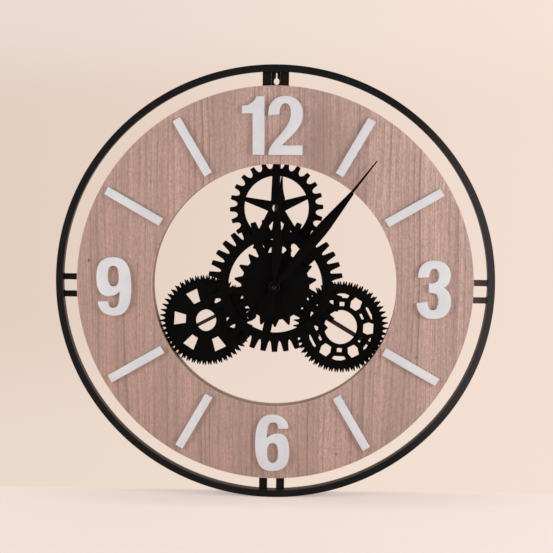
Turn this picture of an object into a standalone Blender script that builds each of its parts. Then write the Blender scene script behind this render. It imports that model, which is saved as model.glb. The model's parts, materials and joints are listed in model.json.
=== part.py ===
"""Round metal wall clock: a wooden dial ring in a steel hoop, cut-out gears, hands and a battery movement.

Metres, +Z up. The clock faces -Y and hangs on a wall behind it. Depths are written as heights above
that wall. Angles are clock angles: 0 at twelve, growing clockwise as seen from the front.
"""
import math

import bmesh
import bpy
from mathutils import Vector
from mathutils.geometry import tessellate_polygon

GAP = 0.0003

RING_OUTER_R = 0.3010
RING_WALL = 0.0086
RING_DEPTH = 0.0250
RING_STEP = 0.0110
RING_FLANGE = 0.0044
RING_INNER_R = RING_OUTER_R - RING_WALL
EDGE = 0.0008

CASE_HALF = 0.0280
CASE_WALL = 0.0015
CASE_FACE = 0.0010
CORE_R = CASE_HALF * math.sqrt(2.0) + 0.0043

RIM_GAP = 0.0204
PANEL_OUTER_R = RING_INNER_R - RIM_GAP
PANEL_BAND = 0.1044
PANEL_HOLE_R = PANEL_OUTER_R - PANEL_BAND
PANEL_THICK = 0.0060
PANEL_FRONT = RING_DEPTH
PANEL_BACK = PANEL_FRONT - PANEL_THICK

BAR_THICK = 0.0046
BAR_FRONT = PANEL_BACK - GAP
BAR_BACK = BAR_FRONT - BAR_THICK
BAR_SPACING = 0.0240
SIDE_BAR_WIDTH = 0.0082
UPRIGHT_BAR_WIDTH = 0.0114
UPRIGHT_BAR_LIP = 0.0038
UPRIGHT_BAR_STEP = BAR_THICK / 2
FRAME_TURN = 0.5
SIDE_BAR_DROP = 0.0030
UPRIGHT_BARS = (
    ("top_left", 0.0, -1.0, 1.0),
    ("top_right", 0.0, 1.0, 1.0),
    ("bottom_right", 180.0, -1.0, -1.0),
    ("bottom_left", 180.0, 1.0, -1.0),
)

GEAR_REACH = PANEL_HOLE_R + 0.0031
TOP_GEAR_TIP = (GEAR_REACH - CORE_R) / 2
TOP_GEAR_ROOT = TOP_GEAR_TIP - 0.0102
TOP_GEAR_RIM = TOP_GEAR_ROOT - 0.0093
TOP_GEAR_BORE = 0.0056
OUTER_GEAR_R = CORE_R + TOP_GEAR_TIP
OUTER_GEARS = (
    (1.4, 0.0003),
    (121.5, 0.0005),
    (242.8, -0.0015),
)
FINE_TOOTH = 0.0075
RIGHT_GEAR_TIP = TOP_GEAR_TIP + 0.0003
RIGHT_GEAR_ROOT = RIGHT_GEAR_TIP - FINE_TOOTH
RIGHT_GEAR_BORE = 0.357 * RIGHT_GEAR_TIP
LEFT_GEAR_TIP = TOP_GEAR_TIP - 0.0006
LEFT_GEAR_ROOT = LEFT_GEAR_TIP - FINE_TOOTH
LEFT_GEAR_BORE = 0.2255 * LEFT_GEAR_TIP
FINE_SHIFT = 0.0016
BACKING_BAND = 0.0070
BACKING_SMALLER = 0.0004

BAR_INNER_R = GEAR_REACH + 0.0011
HOOP_INNER_R = PANEL_HOLE_R - 0.0006
HOOP_OUTER_R = BAR_INNER_R + 0.0082
HOOP_SHIFT = 0.0011
HOOP_FRONT = BAR_BACK - GAP
HOOP_BACK = HOOP_FRONT - 0.0048

STRUT_WIDTH = 0.0048
STRUT_BACK = BAR_BACK
STRUT_FRONT = STRUT_BACK + 0.0021
STRUT_OUTER_R = BAR_INNER_R - GAP
STRUTS = (
    ("top", 1.6),
    ("right", 121.2),
    ("left", 242.4),
)

OUTER_GEAR_BACK = STRUT_FRONT + GAP
OUTER_GEAR_FRONT = BAR_FRONT
FINE_PLATE = (OUTER_GEAR_FRONT - OUTER_GEAR_BACK - GAP) / 2

CENTRE_SHIFT = (0.0015, 0.0007)
SMALL_GEAR_ROOT = CORE_R + 0.0029
SMALL_GEAR_TIP = SMALL_GEAR_ROOT + 0.0099
LARGE_GEAR_HUB = CORE_R - 0.0009
LARGE_GEAR_RIM = SMALL_GEAR_TIP + 0.0085
LARGE_GEAR_ROOT = LARGE_GEAR_RIM + 0.0114
LARGE_GEAR_TIP = LARGE_GEAR_ROOT + 0.0156
LARGE_GEAR_BACK = OUTER_GEAR_FRONT + GAP
LARGE_GEAR_FRONT = LARGE_GEAR_BACK + 0.0018
SMALL_GEAR_BACK = LARGE_GEAR_FRONT + GAP
SMALL_GEAR_FRONT = SMALL_GEAR_BACK + 0.0018
SPACER_R = 0.0032

MARK_OUTER_MARGIN = 0.0100
MARK_INNER_MARGIN = 0.0094
MARK_LENGTH = PANEL_BAND - MARK_OUTER_MARGIN - MARK_INNER_MARGIN
MARK_R = PANEL_OUTER_R - MARK_OUTER_MARGIN - MARK_LENGTH / 2
MARK_WIDTH = 0.0115
MARK_BACK = PANEL_FRONT + GAP
MARK_FRONT = MARK_BACK + 0.0030
DIAL_SHIFT = -0.0014
MARK_HOURS = (1, 2, 4, 5, 7, 8, 10, 11)
NUMERAL_HEIGHT = MARK_LENGTH - 0.0036

HANGER_HALF = BAR_SPACING / 2 - UPRIGHT_BAR_WIDTH / 2 - GAP
HANGER_TOP = RING_INNER_R - 0.0014
HANGER_BOTTOM = PANEL_OUTER_R - 0.0065
HANGER_THICK = 0.0020
KEYHOLE_R = 0.0042
KEYHOLE_TOP = RING_INNER_R - 0.0046
KEYHOLE_Z = KEYHOLE_TOP - 0.0107
KEYHOLE_SLOT = 0.0018

SCREW_R = 0.0015
SCREW_HEAD_R = 0.0032
SCREW_CENTRE_R = MARK_R + 0.0055
SCREW_END = PANEL_BACK + 0.0035

CASE_DEPTH = 0.0155
CASE_FRONT = OUTER_GEAR_FRONT
COVER_BACK = CASE_FRONT - CASE_DEPTH
COVER_FRONT = COVER_BACK + 0.0014
CASE_BACK = COVER_FRONT + GAP

SHAFT_R = 0.0015
TUBE_R = 0.0025
BUSH_R = 0.0040
WASHER_THICK = 0.0008
NUT_BACK = SMALL_GEAR_FRONT + GAP + WASHER_THICK + GAP
NUT_FRONT = NUT_BACK + 0.0024
BUSH_END = NUT_FRONT + 0.0004
HAND_THICK = 0.0010
HOUR_HAND_BACK = MARK_FRONT + GAP
MINUTE_HAND_BACK = HOUR_HAND_BACK + HAND_THICK + 0.0008
HOUR_HAND_LENGTH = PANEL_HOLE_R + 0.0018
MINUTE_HAND_LENGTH = MARK_R + 0.0067
HOUR_HAND_ANGLE = 3.2
MINUTE_HAND_ANGLE = 38.9

CAP_HEIGHT = 0.0029
TOTAL_DEPTH = MINUTE_HAND_BACK + HAND_THICK + GAP + CAP_HEIGHT
WALL_Y = TOTAL_DEPTH / 2

WHEEL_DISTANCE = 0.0103
TRANSFER_PINION_R = 0.0020
MINUTE_PINION_R = 0.0025
HOUR_WHEEL_R = WHEEL_DISTANCE - TRANSFER_PINION_R - GAP
TRANSFER_WHEEL_R = WHEEL_DISTANCE - MINUTE_PINION_R - GAP
CENTRE_WHEEL_R = 0.0084
WHEEL_TOOTH = 0.0006
WHEEL_TEETH = 8
WHEEL_POINTS = 3 * WHEEL_TEETH
WHEEL_THICK = 0.0018
WHEEL_STEP = WHEEL_THICK + 0.0012
CENTRE_WHEEL_BACK = CASE_BACK + 0.0021
TRANSFER_WHEEL_BACK = CENTRE_WHEEL_BACK + WHEEL_STEP
HOUR_WHEEL_BACK = TRANSFER_WHEEL_BACK + WHEEL_STEP
KNOB_R = 0.0050
KNOB_BACK = COVER_BACK - 0.0020
COIL_R = 0.0050

BATTERY_R = 0.0070
BATTERY_Z = CASE_WALL + GAP + BATTERY_R + 0.0007 - CASE_HALF
BATTERY_H = CASE_FRONT - CASE_FACE - GAP - BATTERY_R
CONTACT_THICK = 0.0005
BATTERY_HALF = CASE_HALF - CASE_WALL - CONTACT_THICK - 0.0010


def clear_scene():
    for item in list(bpy.data.objects):
        bpy.data.objects.remove(item, do_unlink=True)


def paint(name, colour, metallic, roughness):
    """A plain surface material."""
    made = bpy.data.materials.new(name)
    made.use_nodes = True
    shader = made.node_tree.nodes["Principled BSDF"]
    shader.inputs["Base Color"].default_value = (*colour, 1.0)
    shader.inputs["Metallic"].default_value = metallic
    shader.inputs["Roughness"].default_value = roughness
    return made


def polar(angle, radius, centre=(0.0, 0.0)):
    """The point at a clock angle in degrees and a radius from a centre, as (x, z)."""
    a = math.radians(angle)
    return (centre[0] + radius * math.sin(a), centre[1] + radius * math.cos(a))


def arc(centre, rx, rz, start, end, steps, power=2.0):
    """Points of a round or squarish curve between two clock angles, both ends included."""
    points = []
    for i in range(steps + 1):
        a = math.radians(start + (end - start) * i / steps)
        s = math.sin(a)
        c = math.cos(a)
        x = math.copysign(abs(s) ** (2.0 / power), s)
        z = math.copysign(abs(c) ** (2.0 / power), c)
        points.append((centre[0] + rx * x, centre[1] + rz * z))
    return points


def circle(radius, steps, centre=(0.0, 0.0)):
    return [polar(360.0 * i / steps, radius, centre) for i in range(steps)]


def bend(p0, p1, p2, p3, steps):
    """Points of a smooth curve from p0 to p3 pulled towards p1 and p2, without its two ends."""
    points = []
    for i in range(1, steps):
        t = i / steps
        u = 1.0 - t
        weights = (u * u * u, 3 * u * u * t, 3 * u * t * t, t * t * t)
        x = sum(w * p[0] for w, p in zip(weights, (p0, p1, p2, p3)))
        z = sum(w * p[1] for w, p in zip(weights, (p0, p1, p2, p3)))
        points.append((x, z))
    return points


def turned_points(points, angle):
    """Points turned clockwise about the middle."""
    a = math.radians(angle)
    c = math.cos(a)
    s = math.sin(a)
    return [(x * c + z * s, z * c - x * s) for x, z in points]


def moved_points(points, dx, dz):
    return [(x + dx, z + dz) for x, z in points]


def scaled_points(points, scale):
    return [(x * scale, z * scale) for x, z in points]


def finish_mesh(name, mesh, surface, centre):
    """Turns a finished bmesh into a named object whose origin is at centre, a point (x, z)."""
    bmesh.ops.recalc_face_normals(mesh, faces=mesh.faces)
    data = bpy.data.meshes.new(name)
    mesh.to_mesh(data)
    mesh.free()
    data.materials.append(surface)
    data.shade_smooth()
    data.set_sharp_from_angle(angle=math.radians(28.0))
    made = bpy.data.objects.new(name, data)
    made.location = (centre[0], 0.0, centre[1])
    bpy.context.scene.collection.objects.link(made)
    return made


def plate(name, outline, holes, back, front, surface, centre=(0.0, 0.0)):
    """A flat piece cut to an outline with holes, between two heights above the wall."""
    loops = [outline] + list(holes)
    flat = [point for loop in loops for point in loop]
    fill = tessellate_polygon([[Vector((x, z, 0.0)) for x, z in loop] for loop in loops])
    mesh = bmesh.new()
    low = [mesh.verts.new((x, WALL_Y - back, z)) for x, z in flat]
    high = [mesh.verts.new((x, WALL_Y - front, z)) for x, z in flat]
    for a, b, c in fill:
        mesh.faces.new((low[a], low[b], low[c]))
        mesh.faces.new((high[c], high[b], high[a]))
    start = 0
    for loop in loops:
        count = len(loop)
        for i in range(count):
            j = (i + 1) % count
            mesh.faces.new((low[start + i], low[start + j], high[start + j], high[start + i]))
        start += count
    return finish_mesh(name, mesh, surface, centre)


def stacked(name, layers, surface, closed=False, centre=(0.0, 0.0), place=None):
    """A piece built of rings of equal point count, each (points, height), joined one to the next.

    A closed stack runs back to its first ring, which leaves a hole through the middle.
    """
    place = place or (lambda x, height, z: (x, WALL_Y - height, z))
    mesh = bmesh.new()
    rings = []
    for points, height in layers:
        rings.append([mesh.verts.new(place(x, height, z)) for x, z in points])
    count = len(rings[0])
    pairs = list(zip(rings, rings[1:]))
    if closed:
        pairs.append((rings[-1], rings[0]))
    for a, b in pairs:
        for i in range(count):
            j = (i + 1) % count
            mesh.faces.new((a[i], a[j], b[j], b[i]))
    if not closed:
        mesh.faces.new(rings[0])
        mesh.faces.new(rings[-1])
    return finish_mesh(name, mesh, surface, centre)


def round_piece(name, profile, steps, surface, closed=False, centre=(0.0, 0.0), place=None):
    """A turned piece from (radius, height) pairs."""
    layers = [(circle(radius, steps), height) for radius, height in profile]
    return stacked(name, layers, surface, closed, centre, place)


def cut_by(target, cutter):
    """Cuts the cutter's shape out of the target."""
    step = target.modifiers.new("cut", "BOOLEAN")
    step.operation = "DIFFERENCE"
    step.solver = "EXACT"
    step.object = cutter
    cutter.hide_render = True
    cutter.display_type = "WIRE"


def hoop_profile(inner, outer, back, front, edge):
    """Section of a round rail with softened front edges."""
    return [
        (inner, back),
        (inner, front - edge),
        (inner + edge, front),
        (outer - edge, front),
        (outer, front - edge),
        (outer, back),
    ]


def outer_ring(black):
    """A rolled angle: a rail in front, and a thin flange that reaches back to the wall."""
    profile = hoop_profile(RING_INNER_R, RING_OUTER_R, RING_STEP, RING_DEPTH, EDGE)
    flange_r = RING_OUTER_R - RING_FLANGE
    profile[-1] = (RING_OUTER_R, 0.0)
    profile += [(flange_r, 0.0), (flange_r, RING_STEP)]
    return round_piece("outer_ring", profile, 80, black, closed=True)


def rear_hoop(veneer):
    """The ring behind the bars, set a little to the right of the dial."""
    profile = [
        (HOOP_INNER_R, HOOP_BACK),
        (HOOP_INNER_R, HOOP_FRONT),
        (HOOP_OUTER_R, HOOP_FRONT),
        (HOOP_OUTER_R, HOOP_BACK),
    ]
    return round_piece("rear_hoop", profile, 64, veneer, closed=True, centre=(HOOP_SHIFT, 0.0))


def wood_ring(veneer, screw_holes):
    profile = hoop_profile(PANEL_HOLE_R, PANEL_OUTER_R, PANEL_BACK, PANEL_FRONT, 0.0004)
    made = round_piece("wood_ring", profile, 80, veneer, closed=True)
    cut_by(made, screw_holes)
    return made


def screw_places():
    """Where the four panel screws go: through the thick leg of each upright bar."""
    places = []
    for _, turn, side, lip_side in UPRIGHT_BARS:
        across = side * BAR_SPACING / 2 - lip_side * UPRIGHT_BAR_LIP / 2
        places.append(turned_points([(across, SCREW_CENTRE_R)], turn + FRAME_TURN)[0])
    return places


def screw_hole_cutter(plain):
    """Four round holes: clearance through the upright bars, then blind in the panel's back."""
    mesh = bmesh.new()
    for x, z in screw_places():
        ring = circle(SCREW_R + GAP, 12, (x, z))
        low = [mesh.verts.new((px, WALL_Y - BAR_BACK + 0.0010, pz)) for px, pz in ring]
        high = [mesh.verts.new((px, WALL_Y - SCREW_END - GAP, pz)) for px, pz in ring]
        mesh.faces.new(low)
        mesh.faces.new(high)
        for i in range(len(ring)):
            j = (i + 1) % len(ring)
            mesh.faces.new((low[i], low[j], high[j], high[i]))
    return finish_mesh("screw_hole_cutter", mesh, plain, (0.0, 0.0))


def wood_screws(steel):
    seat = BAR_BACK - GAP
    profile = [
        (SCREW_HEAD_R - 0.0016, seat - 0.0014),
        (SCREW_HEAD_R, seat - 0.0004),
        (SCREW_HEAD_R, seat),
        (SCREW_R, seat),
        (SCREW_R, SCREW_END - 0.0014),
        (SCREW_R - 0.0011, SCREW_END),
    ]
    for (corner, _, _, _), place in zip(UPRIGHT_BARS, screw_places()):
        round_piece("wood_screw_" + corner, profile, 10, steel, centre=place)


def bar_end(across):
    """How far out a bar at this offset from the middle can run inside the outer ring."""
    inside = RING_INNER_R - GAP
    return math.sqrt(inside * inside - across * across) - 0.0003


def swept_bar(name, section, start, end, turn, shift, surface):
    """A bar with a section of (across, height) points, from a start to an end along its clock angle."""
    mesh = bmesh.new()
    rings = []
    heights = [height for _, height in section]
    for out in (start, end):
        placed = moved_points(turned_points([(x, out) for x, _ in section], turn), *shift)
        rings.append([mesh.verts.new((x, WALL_Y - height, z)) for (x, z), height in zip(placed, heights)])
    count = len(section)
    mesh.faces.new(rings[0])
    mesh.faces.new(rings[1])
    for i in range(count):
        j = (i + 1) % count
        mesh.faces.new((rings[0][i], rings[0][j], rings[1][j], rings[1][i]))
    return finish_mesh(name, mesh, surface, (0.0, 0.0))


def upright_bars(black, screw_holes):
    """The four folded bars above and below the dial, each with a lower lip along its right side."""
    for corner, turn, side, lip_side in UPRIGHT_BARS:
        middle = side * BAR_SPACING / 2
        plain_edge = middle - lip_side * UPRIGHT_BAR_WIDTH / 2
        lip_edge = middle + lip_side * UPRIGHT_BAR_WIDTH / 2
        fold = lip_edge - lip_side * UPRIGHT_BAR_LIP
        section = [
            (plain_edge, BAR_BACK),
            (plain_edge, BAR_FRONT),
            (fold, BAR_FRONT),
            (fold, BAR_FRONT - UPRIGHT_BAR_STEP),
            (lip_edge, BAR_FRONT - UPRIGHT_BAR_STEP),
            (lip_edge, BAR_BACK),
        ]
        end = bar_end(BAR_SPACING / 2 + UPRIGHT_BAR_WIDTH / 2)
        made = swept_bar("bar_" + corner, section, BAR_INNER_R, end, turn + FRAME_TURN, (0.0, 0.0), black)
        cut_by(made, screw_holes)


def side_bars(black):
    """The four flat bars left and right of the dial."""
    names = ("bar_right_upper", "bar_right_lower", "bar_left_lower", "bar_left_upper")
    places = [(90.0, -1.0), (90.0, 1.0), (270.0, -1.0), (270.0, 1.0)]
    for name, (turn, side) in zip(names, places):
        middle = side * BAR_SPACING / 2
        half = SIDE_BAR_WIDTH / 2
        section = [
            (middle - half, BAR_BACK),
            (middle - half, BAR_FRONT),
            (middle + half, BAR_FRONT),
            (middle + half, BAR_BACK),
        ]
        drop = SIDE_BAR_DROP * (1.0 if turn == 90.0 else -1.0)
        end = bar_end(abs(middle + drop) + half + 0.0030)
        swept_bar(name, section, BAR_INNER_R + 0.0020, end, turn + FRAME_TURN, (0.0, -SIDE_BAR_DROP), black)


def hanger_plate(black):
    """The plate between the top bars, with a keyhole whose slot runs up."""
    corners = [
        (-HANGER_HALF, HANGER_BOTTOM),
        (HANGER_HALF, HANGER_BOTTOM),
        (HANGER_HALF, HANGER_TOP),
        (-HANGER_HALF, HANGER_TOP),
    ]
    open_angle = math.degrees(math.asin(KEYHOLE_SLOT / KEYHOLE_R))
    head = arc((0.0, KEYHOLE_Z), KEYHOLE_R, KEYHOLE_R, open_angle, 360.0 - open_angle, 18)
    slot_end = arc((0.0, KEYHOLE_TOP - KEYHOLE_SLOT), KEYHOLE_SLOT, KEYHOLE_SLOT, -90.0, 90.0, 6)
    outline = turned_points(corners, FRAME_TURN)
    hole = turned_points(head + slot_end, FRAME_TURN)
    return plate("hanger_plate", outline, [hole], BAR_BACK, BAR_BACK + HANGER_THICK, black)


def hour_marks(white):
    """Bars at every hour without a numeral."""
    for hour in MARK_HOURS:
        half = MARK_WIDTH / 2
        inner = MARK_R - MARK_LENGTH / 2
        outer = MARK_R + MARK_LENGTH / 2
        corners = [(-half, inner), (half, inner), (half, outer), (-half, outer)]
        outline = moved_points(turned_points(corners, 30.0 * hour), DIAL_SHIFT, 0.0)
        plate("hour_mark_%02d" % hour, outline, [], MARK_BACK, MARK_FRONT, white)


def figure_one():
    """Figures are drawn in units, with the six 81.4 units tall, about their own middle."""
    flag = bend((4.4, 38.7), (1.0, 30.0), (-6.0, 26.3), (-14.9, 26.1), 6)
    return [
        (14.9, -39.1),
        (14.9, 38.7),
        (4.4, 38.7),
        *flag,
        (-14.9, 26.1),
        (-14.9, 15.9),
        (-0.6, 15.9),
        (-0.6, -39.1),
    ]


def figure_two():
    top = arc((0.0, 15.0), 23.0, 24.2, -93.0, 90.0, 18, 2.2)
    down = bend((23.0, 15.0), (23.0, -4.0), (6.0, -14.0), (-4.7, -26.4), 9)
    back = bend((-22.8, -39.1), (-22.4, -20.0), (7.4, -6.0), (7.4, 16.0), 10)
    inner = arc((-0.4, 16.0), 7.8, 13.4, 90.0, -94.0, 12, 2.3)
    foot = [(-4.7, -26.4), (23.0, -26.4), (23.0, -39.1), (-22.8, -39.1)]
    return top + down + foot + back + inner


def figure_three():
    top = arc((0.0, 18.5), 21.8, 21.8, -94.0, 88.0, 16, 2.25)
    upper = bend((21.6, 19.0), (21.6, 11.0), (18.0, 5.0), (12.3, 3.1), 4)
    lower = bend((12.3, 3.1), (19.0, 0.5), (23.2, -8.0), (23.2, -16.5), 5)
    bottom = arc((0.0, -17.0), 23.2, 23.3, 90.0, 267.0, 16, 2.25)
    low_inner = arc((-1.2, -15.8), 7.5, 12.5, 268.0, 90.0, 10, 2.3)
    middle_low = bend((6.3, -15.8), (6.3, -6.0), (2.0, -3.8), (-7.2, -3.8), 5)
    middle_high = bend((-7.2, 8.8), (2.0, 8.8), (6.2, 11.0), (6.2, 18.5), 5)
    high_inner = arc((-0.5, 18.5), 6.7, 10.5, 90.0, -95.0, 10, 2.3)
    neck = [(12.3, 3.1)]
    step = [(-7.2, -3.8), (-7.2, 8.8)]
    return top + upper + neck + lower + bottom + low_inner + middle_low + step + middle_high + high_inner


def figure_six():
    """Outline and counter of a six; a nine is the same figure upside down."""
    top = arc((0.0, 19.0), 22.6, 21.7, 86.0, 0.0, 8, 2.2)
    left = bend((0.0, 40.7), (-15.0, 40.7), (-23.8, 30.0), (-23.8, 0.0), 9)
    side = bend((-23.8, 0.0), (-23.8, -30.0), (-16.0, -40.7), (0.0, -40.7), 9)
    right = bend((0.0, -40.7), (16.0, -40.7), (23.8, -32.0), (23.8, -13.0), 8)
    shoulder = bend((23.8, -13.0), (23.8, 6.0), (18.0, 13.6), (7.2, 13.6), 8)
    notch = bend((7.2, 13.6), (2.0, 13.6), (-4.0, 11.0), (-7.8, 7.0), 3)
    inner = bend((-7.8, 7.0), (-7.4, 23.0), (-6.0, 29.5), (1.2, 29.5), 7)
    close = bend((1.2, 29.5), (6.6, 29.5), (8.2, 27.0), (8.4, 20.5), 5)
    outline = top + left + [(-23.8, 0.0)] + side + [(0.0, -40.7)] + right + [(23.8, -13.0)]
    outline += shoulder + [(7.2, 13.6)] + notch + [(-7.8, 7.0)] + inner + [(1.2, 29.5)]
    outline += close + [(8.4, 20.5)]
    counter = arc((0.6, -14.5), 7.8, 14.3, 0.0, 345.0, 23, 2.5)
    return outline, counter


def numerals(white):
    scale = NUMERAL_HEIGHT / 81.4
    six, counter = figure_six()
    nine = turned_points(six, 180.0)
    nine_counter = turned_points(counter, 180.0)
    pieces = [
        ("numeral_12_one", figure_one(), [], 0.0, -27.7, -0.5),
        ("numeral_12_two", figure_two(), [], 0.0, 15.5, -0.5),
        ("numeral_3", figure_three(), [], 90.0, -0.1, -1.8),
        ("numeral_6", six, [counter], 180.0, -0.2, -0.5),
        ("numeral_9", nine, [nine_counter], 270.0, 0.7, -0.8),
    ]
    for name, outline, holes, angle, across, rise in pieces:
        x, z = polar(angle, MARK_R)
        x += DIAL_SHIFT + across * scale
        z += rise * scale
        placed = [moved_points(scaled_points(hole, scale), x, z) for hole in holes]
        plate(name, moved_points(scaled_points(outline, scale), x, z), placed, MARK_BACK, MARK_FRONT, white)


def tooth_outline(count, root, tip, shape, phase, centre=(0.0, 0.0)):
    """A gear's outline. Shape lists one tooth as (share of the pitch, share of the height) points."""
    points = []
    pitch = 360.0 / count
    for k in range(count):
        for across, up in shape:
            points.append(polar(phase + pitch * (k + across), root + (tip - root) * up, centre))
    return points


def mirrored_tooth(root_point, *flank):
    """One tooth from its root point and one flank, as (share of the pitch, share of the height)."""
    other_flank = [(-across, up) for across, up in reversed(flank)]
    return (root_point, *flank, *other_flank)


BLUNT_TOOTH = mirrored_tooth((-0.50, 0.0), (-0.38, 0.08), (-0.22, 0.41), (-0.16, 1.0))
LONG_TOOTH = mirrored_tooth((-0.50, 0.0), (-0.35, 0.12), (-0.18, 1.0))
SHARP_TOOTH = mirrored_tooth((-0.50, 0.0), (-0.34, 0.0), (-0.06, 1.0))
WHEEL_TOOTH_SHAPE = mirrored_tooth((-0.50, 0.0), (-0.12, 1.0))
FINE_TOOTH_SHAPE = ((-0.33, 0.0), (0.0, 1.0), (0.33, 0.0))


def outer_gear_centre(index):
    """Centre of the top, right or left gear, by index 0, 1 or 2."""
    angle, further = OUTER_GEARS[index]
    return polar(angle, OUTER_GEAR_R + further)


def local_points(points, angle):
    """Points given as (outward, across) pairs, placed along a clock angle."""
    return turned_points([(across, outward) for outward, across in points], angle)


def top_gear(black):
    """A star-spoked gear with blunt teeth and round gaps."""
    valley_r = TOP_GEAR_BORE + 0.0070
    windows = []
    for k in range(5):
        start = 72.0 * k + 1.5
        rim_side = arc((0.0, 0.0), TOP_GEAR_RIM, TOP_GEAR_RIM, start, start + 64.6, 9)
        valley = [polar(start + 36.9, valley_r), polar(start + 30.1, valley_r)]
        windows.append(rim_side + valley)
    holes = windows + [circle(TOP_GEAR_BORE, 14)]
    outline = tooth_outline(24, TOP_GEAR_ROOT, TOP_GEAR_TIP, BLUNT_TOOTH, -1.85)
    centre = outer_gear_centre(0)
    return plate("top_gear", outline, holes, OUTER_GEAR_BACK, OUTER_GEAR_FRONT, black, centre)


def right_gear(black):
    """A fine-toothed gear with a wide bore, six-sided windows, and squares and slots between them."""
    scale = RIGHT_GEAR_TIP / 63.7
    holes = [circle(RIGHT_GEAR_BORE, 28)]
    six_sided = [(30.5, 5.2), (36.6, 7.8), (45.5, 5.6), (45.5, -5.6), (36.6, -7.8), (30.5, -5.2)]
    square = [(30.2, -3.2), (30.2, 3.2), (34.5, 3.2), (34.5, -3.2)]
    slot = [(41.2, -6.4), (41.2, 6.4), (44.4, 10.1), (46.2, 4.0), (46.2, -4.0), (44.4, -10.1)]
    for k in range(6):
        side = 60.0 * k + 2.5
        holes.append(local_points(scaled_points(six_sided, scale), 30.0 + side))
        holes.append(local_points(scaled_points(square, scale), side))
        holes.append(local_points(scaled_points(slot, scale), side))
    outline = tooth_outline(50, RIGHT_GEAR_ROOT, RIGHT_GEAR_TIP, FINE_TOOTH_SHAPE, 4.84, (FINE_SHIFT, 0.0))
    centre = outer_gear_centre(1)
    front = OUTER_GEAR_FRONT
    return plate("right_gear", outline, holes, front - FINE_PLATE, front, black, centre)


def left_gear(black):
    """A fine-toothed gear with a small bore and six tapered windows."""
    holes = [circle(LEFT_GEAR_BORE, 24)]
    scale = LEFT_GEAR_TIP / 62.8
    window = scaled_points([(28.5, -5.3), (28.5, 5.3), (44.8, 8.9), (44.8, -8.9)], scale)
    for k in range(6):
        holes.append(local_points(window, 33.7 + 60.0 * k))
    outline = tooth_outline(50, LEFT_GEAR_ROOT, LEFT_GEAR_TIP, FINE_TOOTH_SHAPE, 2.67, (FINE_SHIFT, 0.0))
    centre = outer_gear_centre(2)
    front = OUTER_GEAR_FRONT
    return plate("left_gear", outline, holes, front - FINE_PLATE, front, black, centre)


def gear_backings(black):
    """The second toothed rings behind the two fine gears, set a little sideways."""
    sizes = [("right_gear_backing", 1, RIGHT_GEAR_TIP, 4.84), ("left_gear_backing", 2, LEFT_GEAR_TIP, 2.67)]
    for name, index, tip, phase in sizes:
        root = tip - FINE_TOOTH
        shift = (-FINE_SHIFT, 0.0)
        outline = tooth_outline(50, root, tip - BACKING_SMALLER, FINE_TOOTH_SHAPE, phase, shift)
        inside = circle(root - BACKING_BAND, 32, shift)
        back = OUTER_GEAR_BACK
        plate(name, outline, [inside], back, back + FINE_PLATE, black, outer_gear_centre(index))


def centre_gear_large(black):
    """The big gear behind the middle: a hub disc, five spokes and a toothed rim."""
    rim = LARGE_GEAR_RIM
    hub = LARGE_GEAR_HUB
    hub_half = 9.6
    rim_half = 4.6
    windows = []
    for k in range(5):
        spoke = 48.0 + 72.0 * k
        outer = arc((0.0, 0.0), rim, rim, spoke + rim_half, spoke + 72.0 - rim_half, 10)
        inner = arc((0.0, 0.0), hub, hub, spoke + 72.0 - hub_half, spoke + hub_half, 6)
        windows.append(outer + inner)
    bore = circle(BUSH_R + GAP, 20, (-CENTRE_SHIFT[0], -CENTRE_SHIFT[1]))
    outline = tooth_outline(36, LARGE_GEAR_ROOT, LARGE_GEAR_TIP, LONG_TOOTH, 0.45)
    holes = windows + [bore]
    return plate("centre_gear_large", outline, holes, LARGE_GEAR_BACK, LARGE_GEAR_FRONT, black, CENTRE_SHIFT)


def centre_gear_small(black):
    """The solid toothed disc in front that hides the movement."""
    bore = circle(BUSH_R + GAP, 20, (-CENTRE_SHIFT[0], -CENTRE_SHIFT[1]))
    outline = tooth_outline(18, SMALL_GEAR_ROOT, SMALL_GEAR_TIP, SHARP_TOOTH, 0.3)
    back = SMALL_GEAR_BACK
    return plate("centre_gear_small", outline, [bore], back, SMALL_GEAR_FRONT, black, CENTRE_SHIFT)


def strut_start(turn):
    """How far from the middle a strut at this clock angle begins, just clear of the movement's box."""
    s = abs(math.sin(math.radians(turn)))
    c = abs(math.cos(math.radians(turn)))
    return (CASE_HALF + GAP + STRUT_WIDTH / 2 * min(s, c)) / max(s, c)


def struts(black):
    """Three flat struts from the rear hoop inwards, one behind each outer gear, with a spacer on each."""
    for side, turn in STRUTS:
        start = strut_start(turn)
        half = STRUT_WIDTH / 2
        corners = [(-half, start), (half, start), (half, STRUT_OUTER_R), (-half, STRUT_OUTER_R)]
        plate("strut_" + side, turned_points(corners, turn), [], STRUT_BACK, STRUT_FRONT, black)
        centre = polar(turn, start + SPACER_R + 0.0006)
        profile = [(SPACER_R, STRUT_FRONT + GAP), (SPACER_R, LARGE_GEAR_BACK - GAP)]
        round_piece("hub_spacer_" + side, profile, 12, black, centre=centre)


def rounded_square(half_x, half_z, corner, steps=3):
    points = []
    for sx, sz, start in ((1, 1, 0.0), (1, -1, 90.0), (-1, -1, 180.0), (-1, 1, 270.0)):
        middle = (sx * (half_x - corner), sz * (half_z - corner))
        points += arc(middle, corner, corner, start, start + 90.0, steps)
    return points


def movement_case(plastic):
    """The movement's box, open at the back."""
    outline = rounded_square(CASE_HALF, CASE_HALF, 0.0040)
    bore = circle(BUSH_R + GAP, 20)
    made = plate("movement_case", outline, [bore], CASE_BACK, CASE_FRONT, plastic)
    room_half = CASE_HALF - CASE_WALL
    room = rounded_square(room_half, room_half, 0.0028)
    cutter = plate("case_room_cutter", room, [], CASE_BACK - 0.0010, CASE_FRONT - CASE_FACE, plastic)
    cut_by(made, cutter)
    return made


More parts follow.
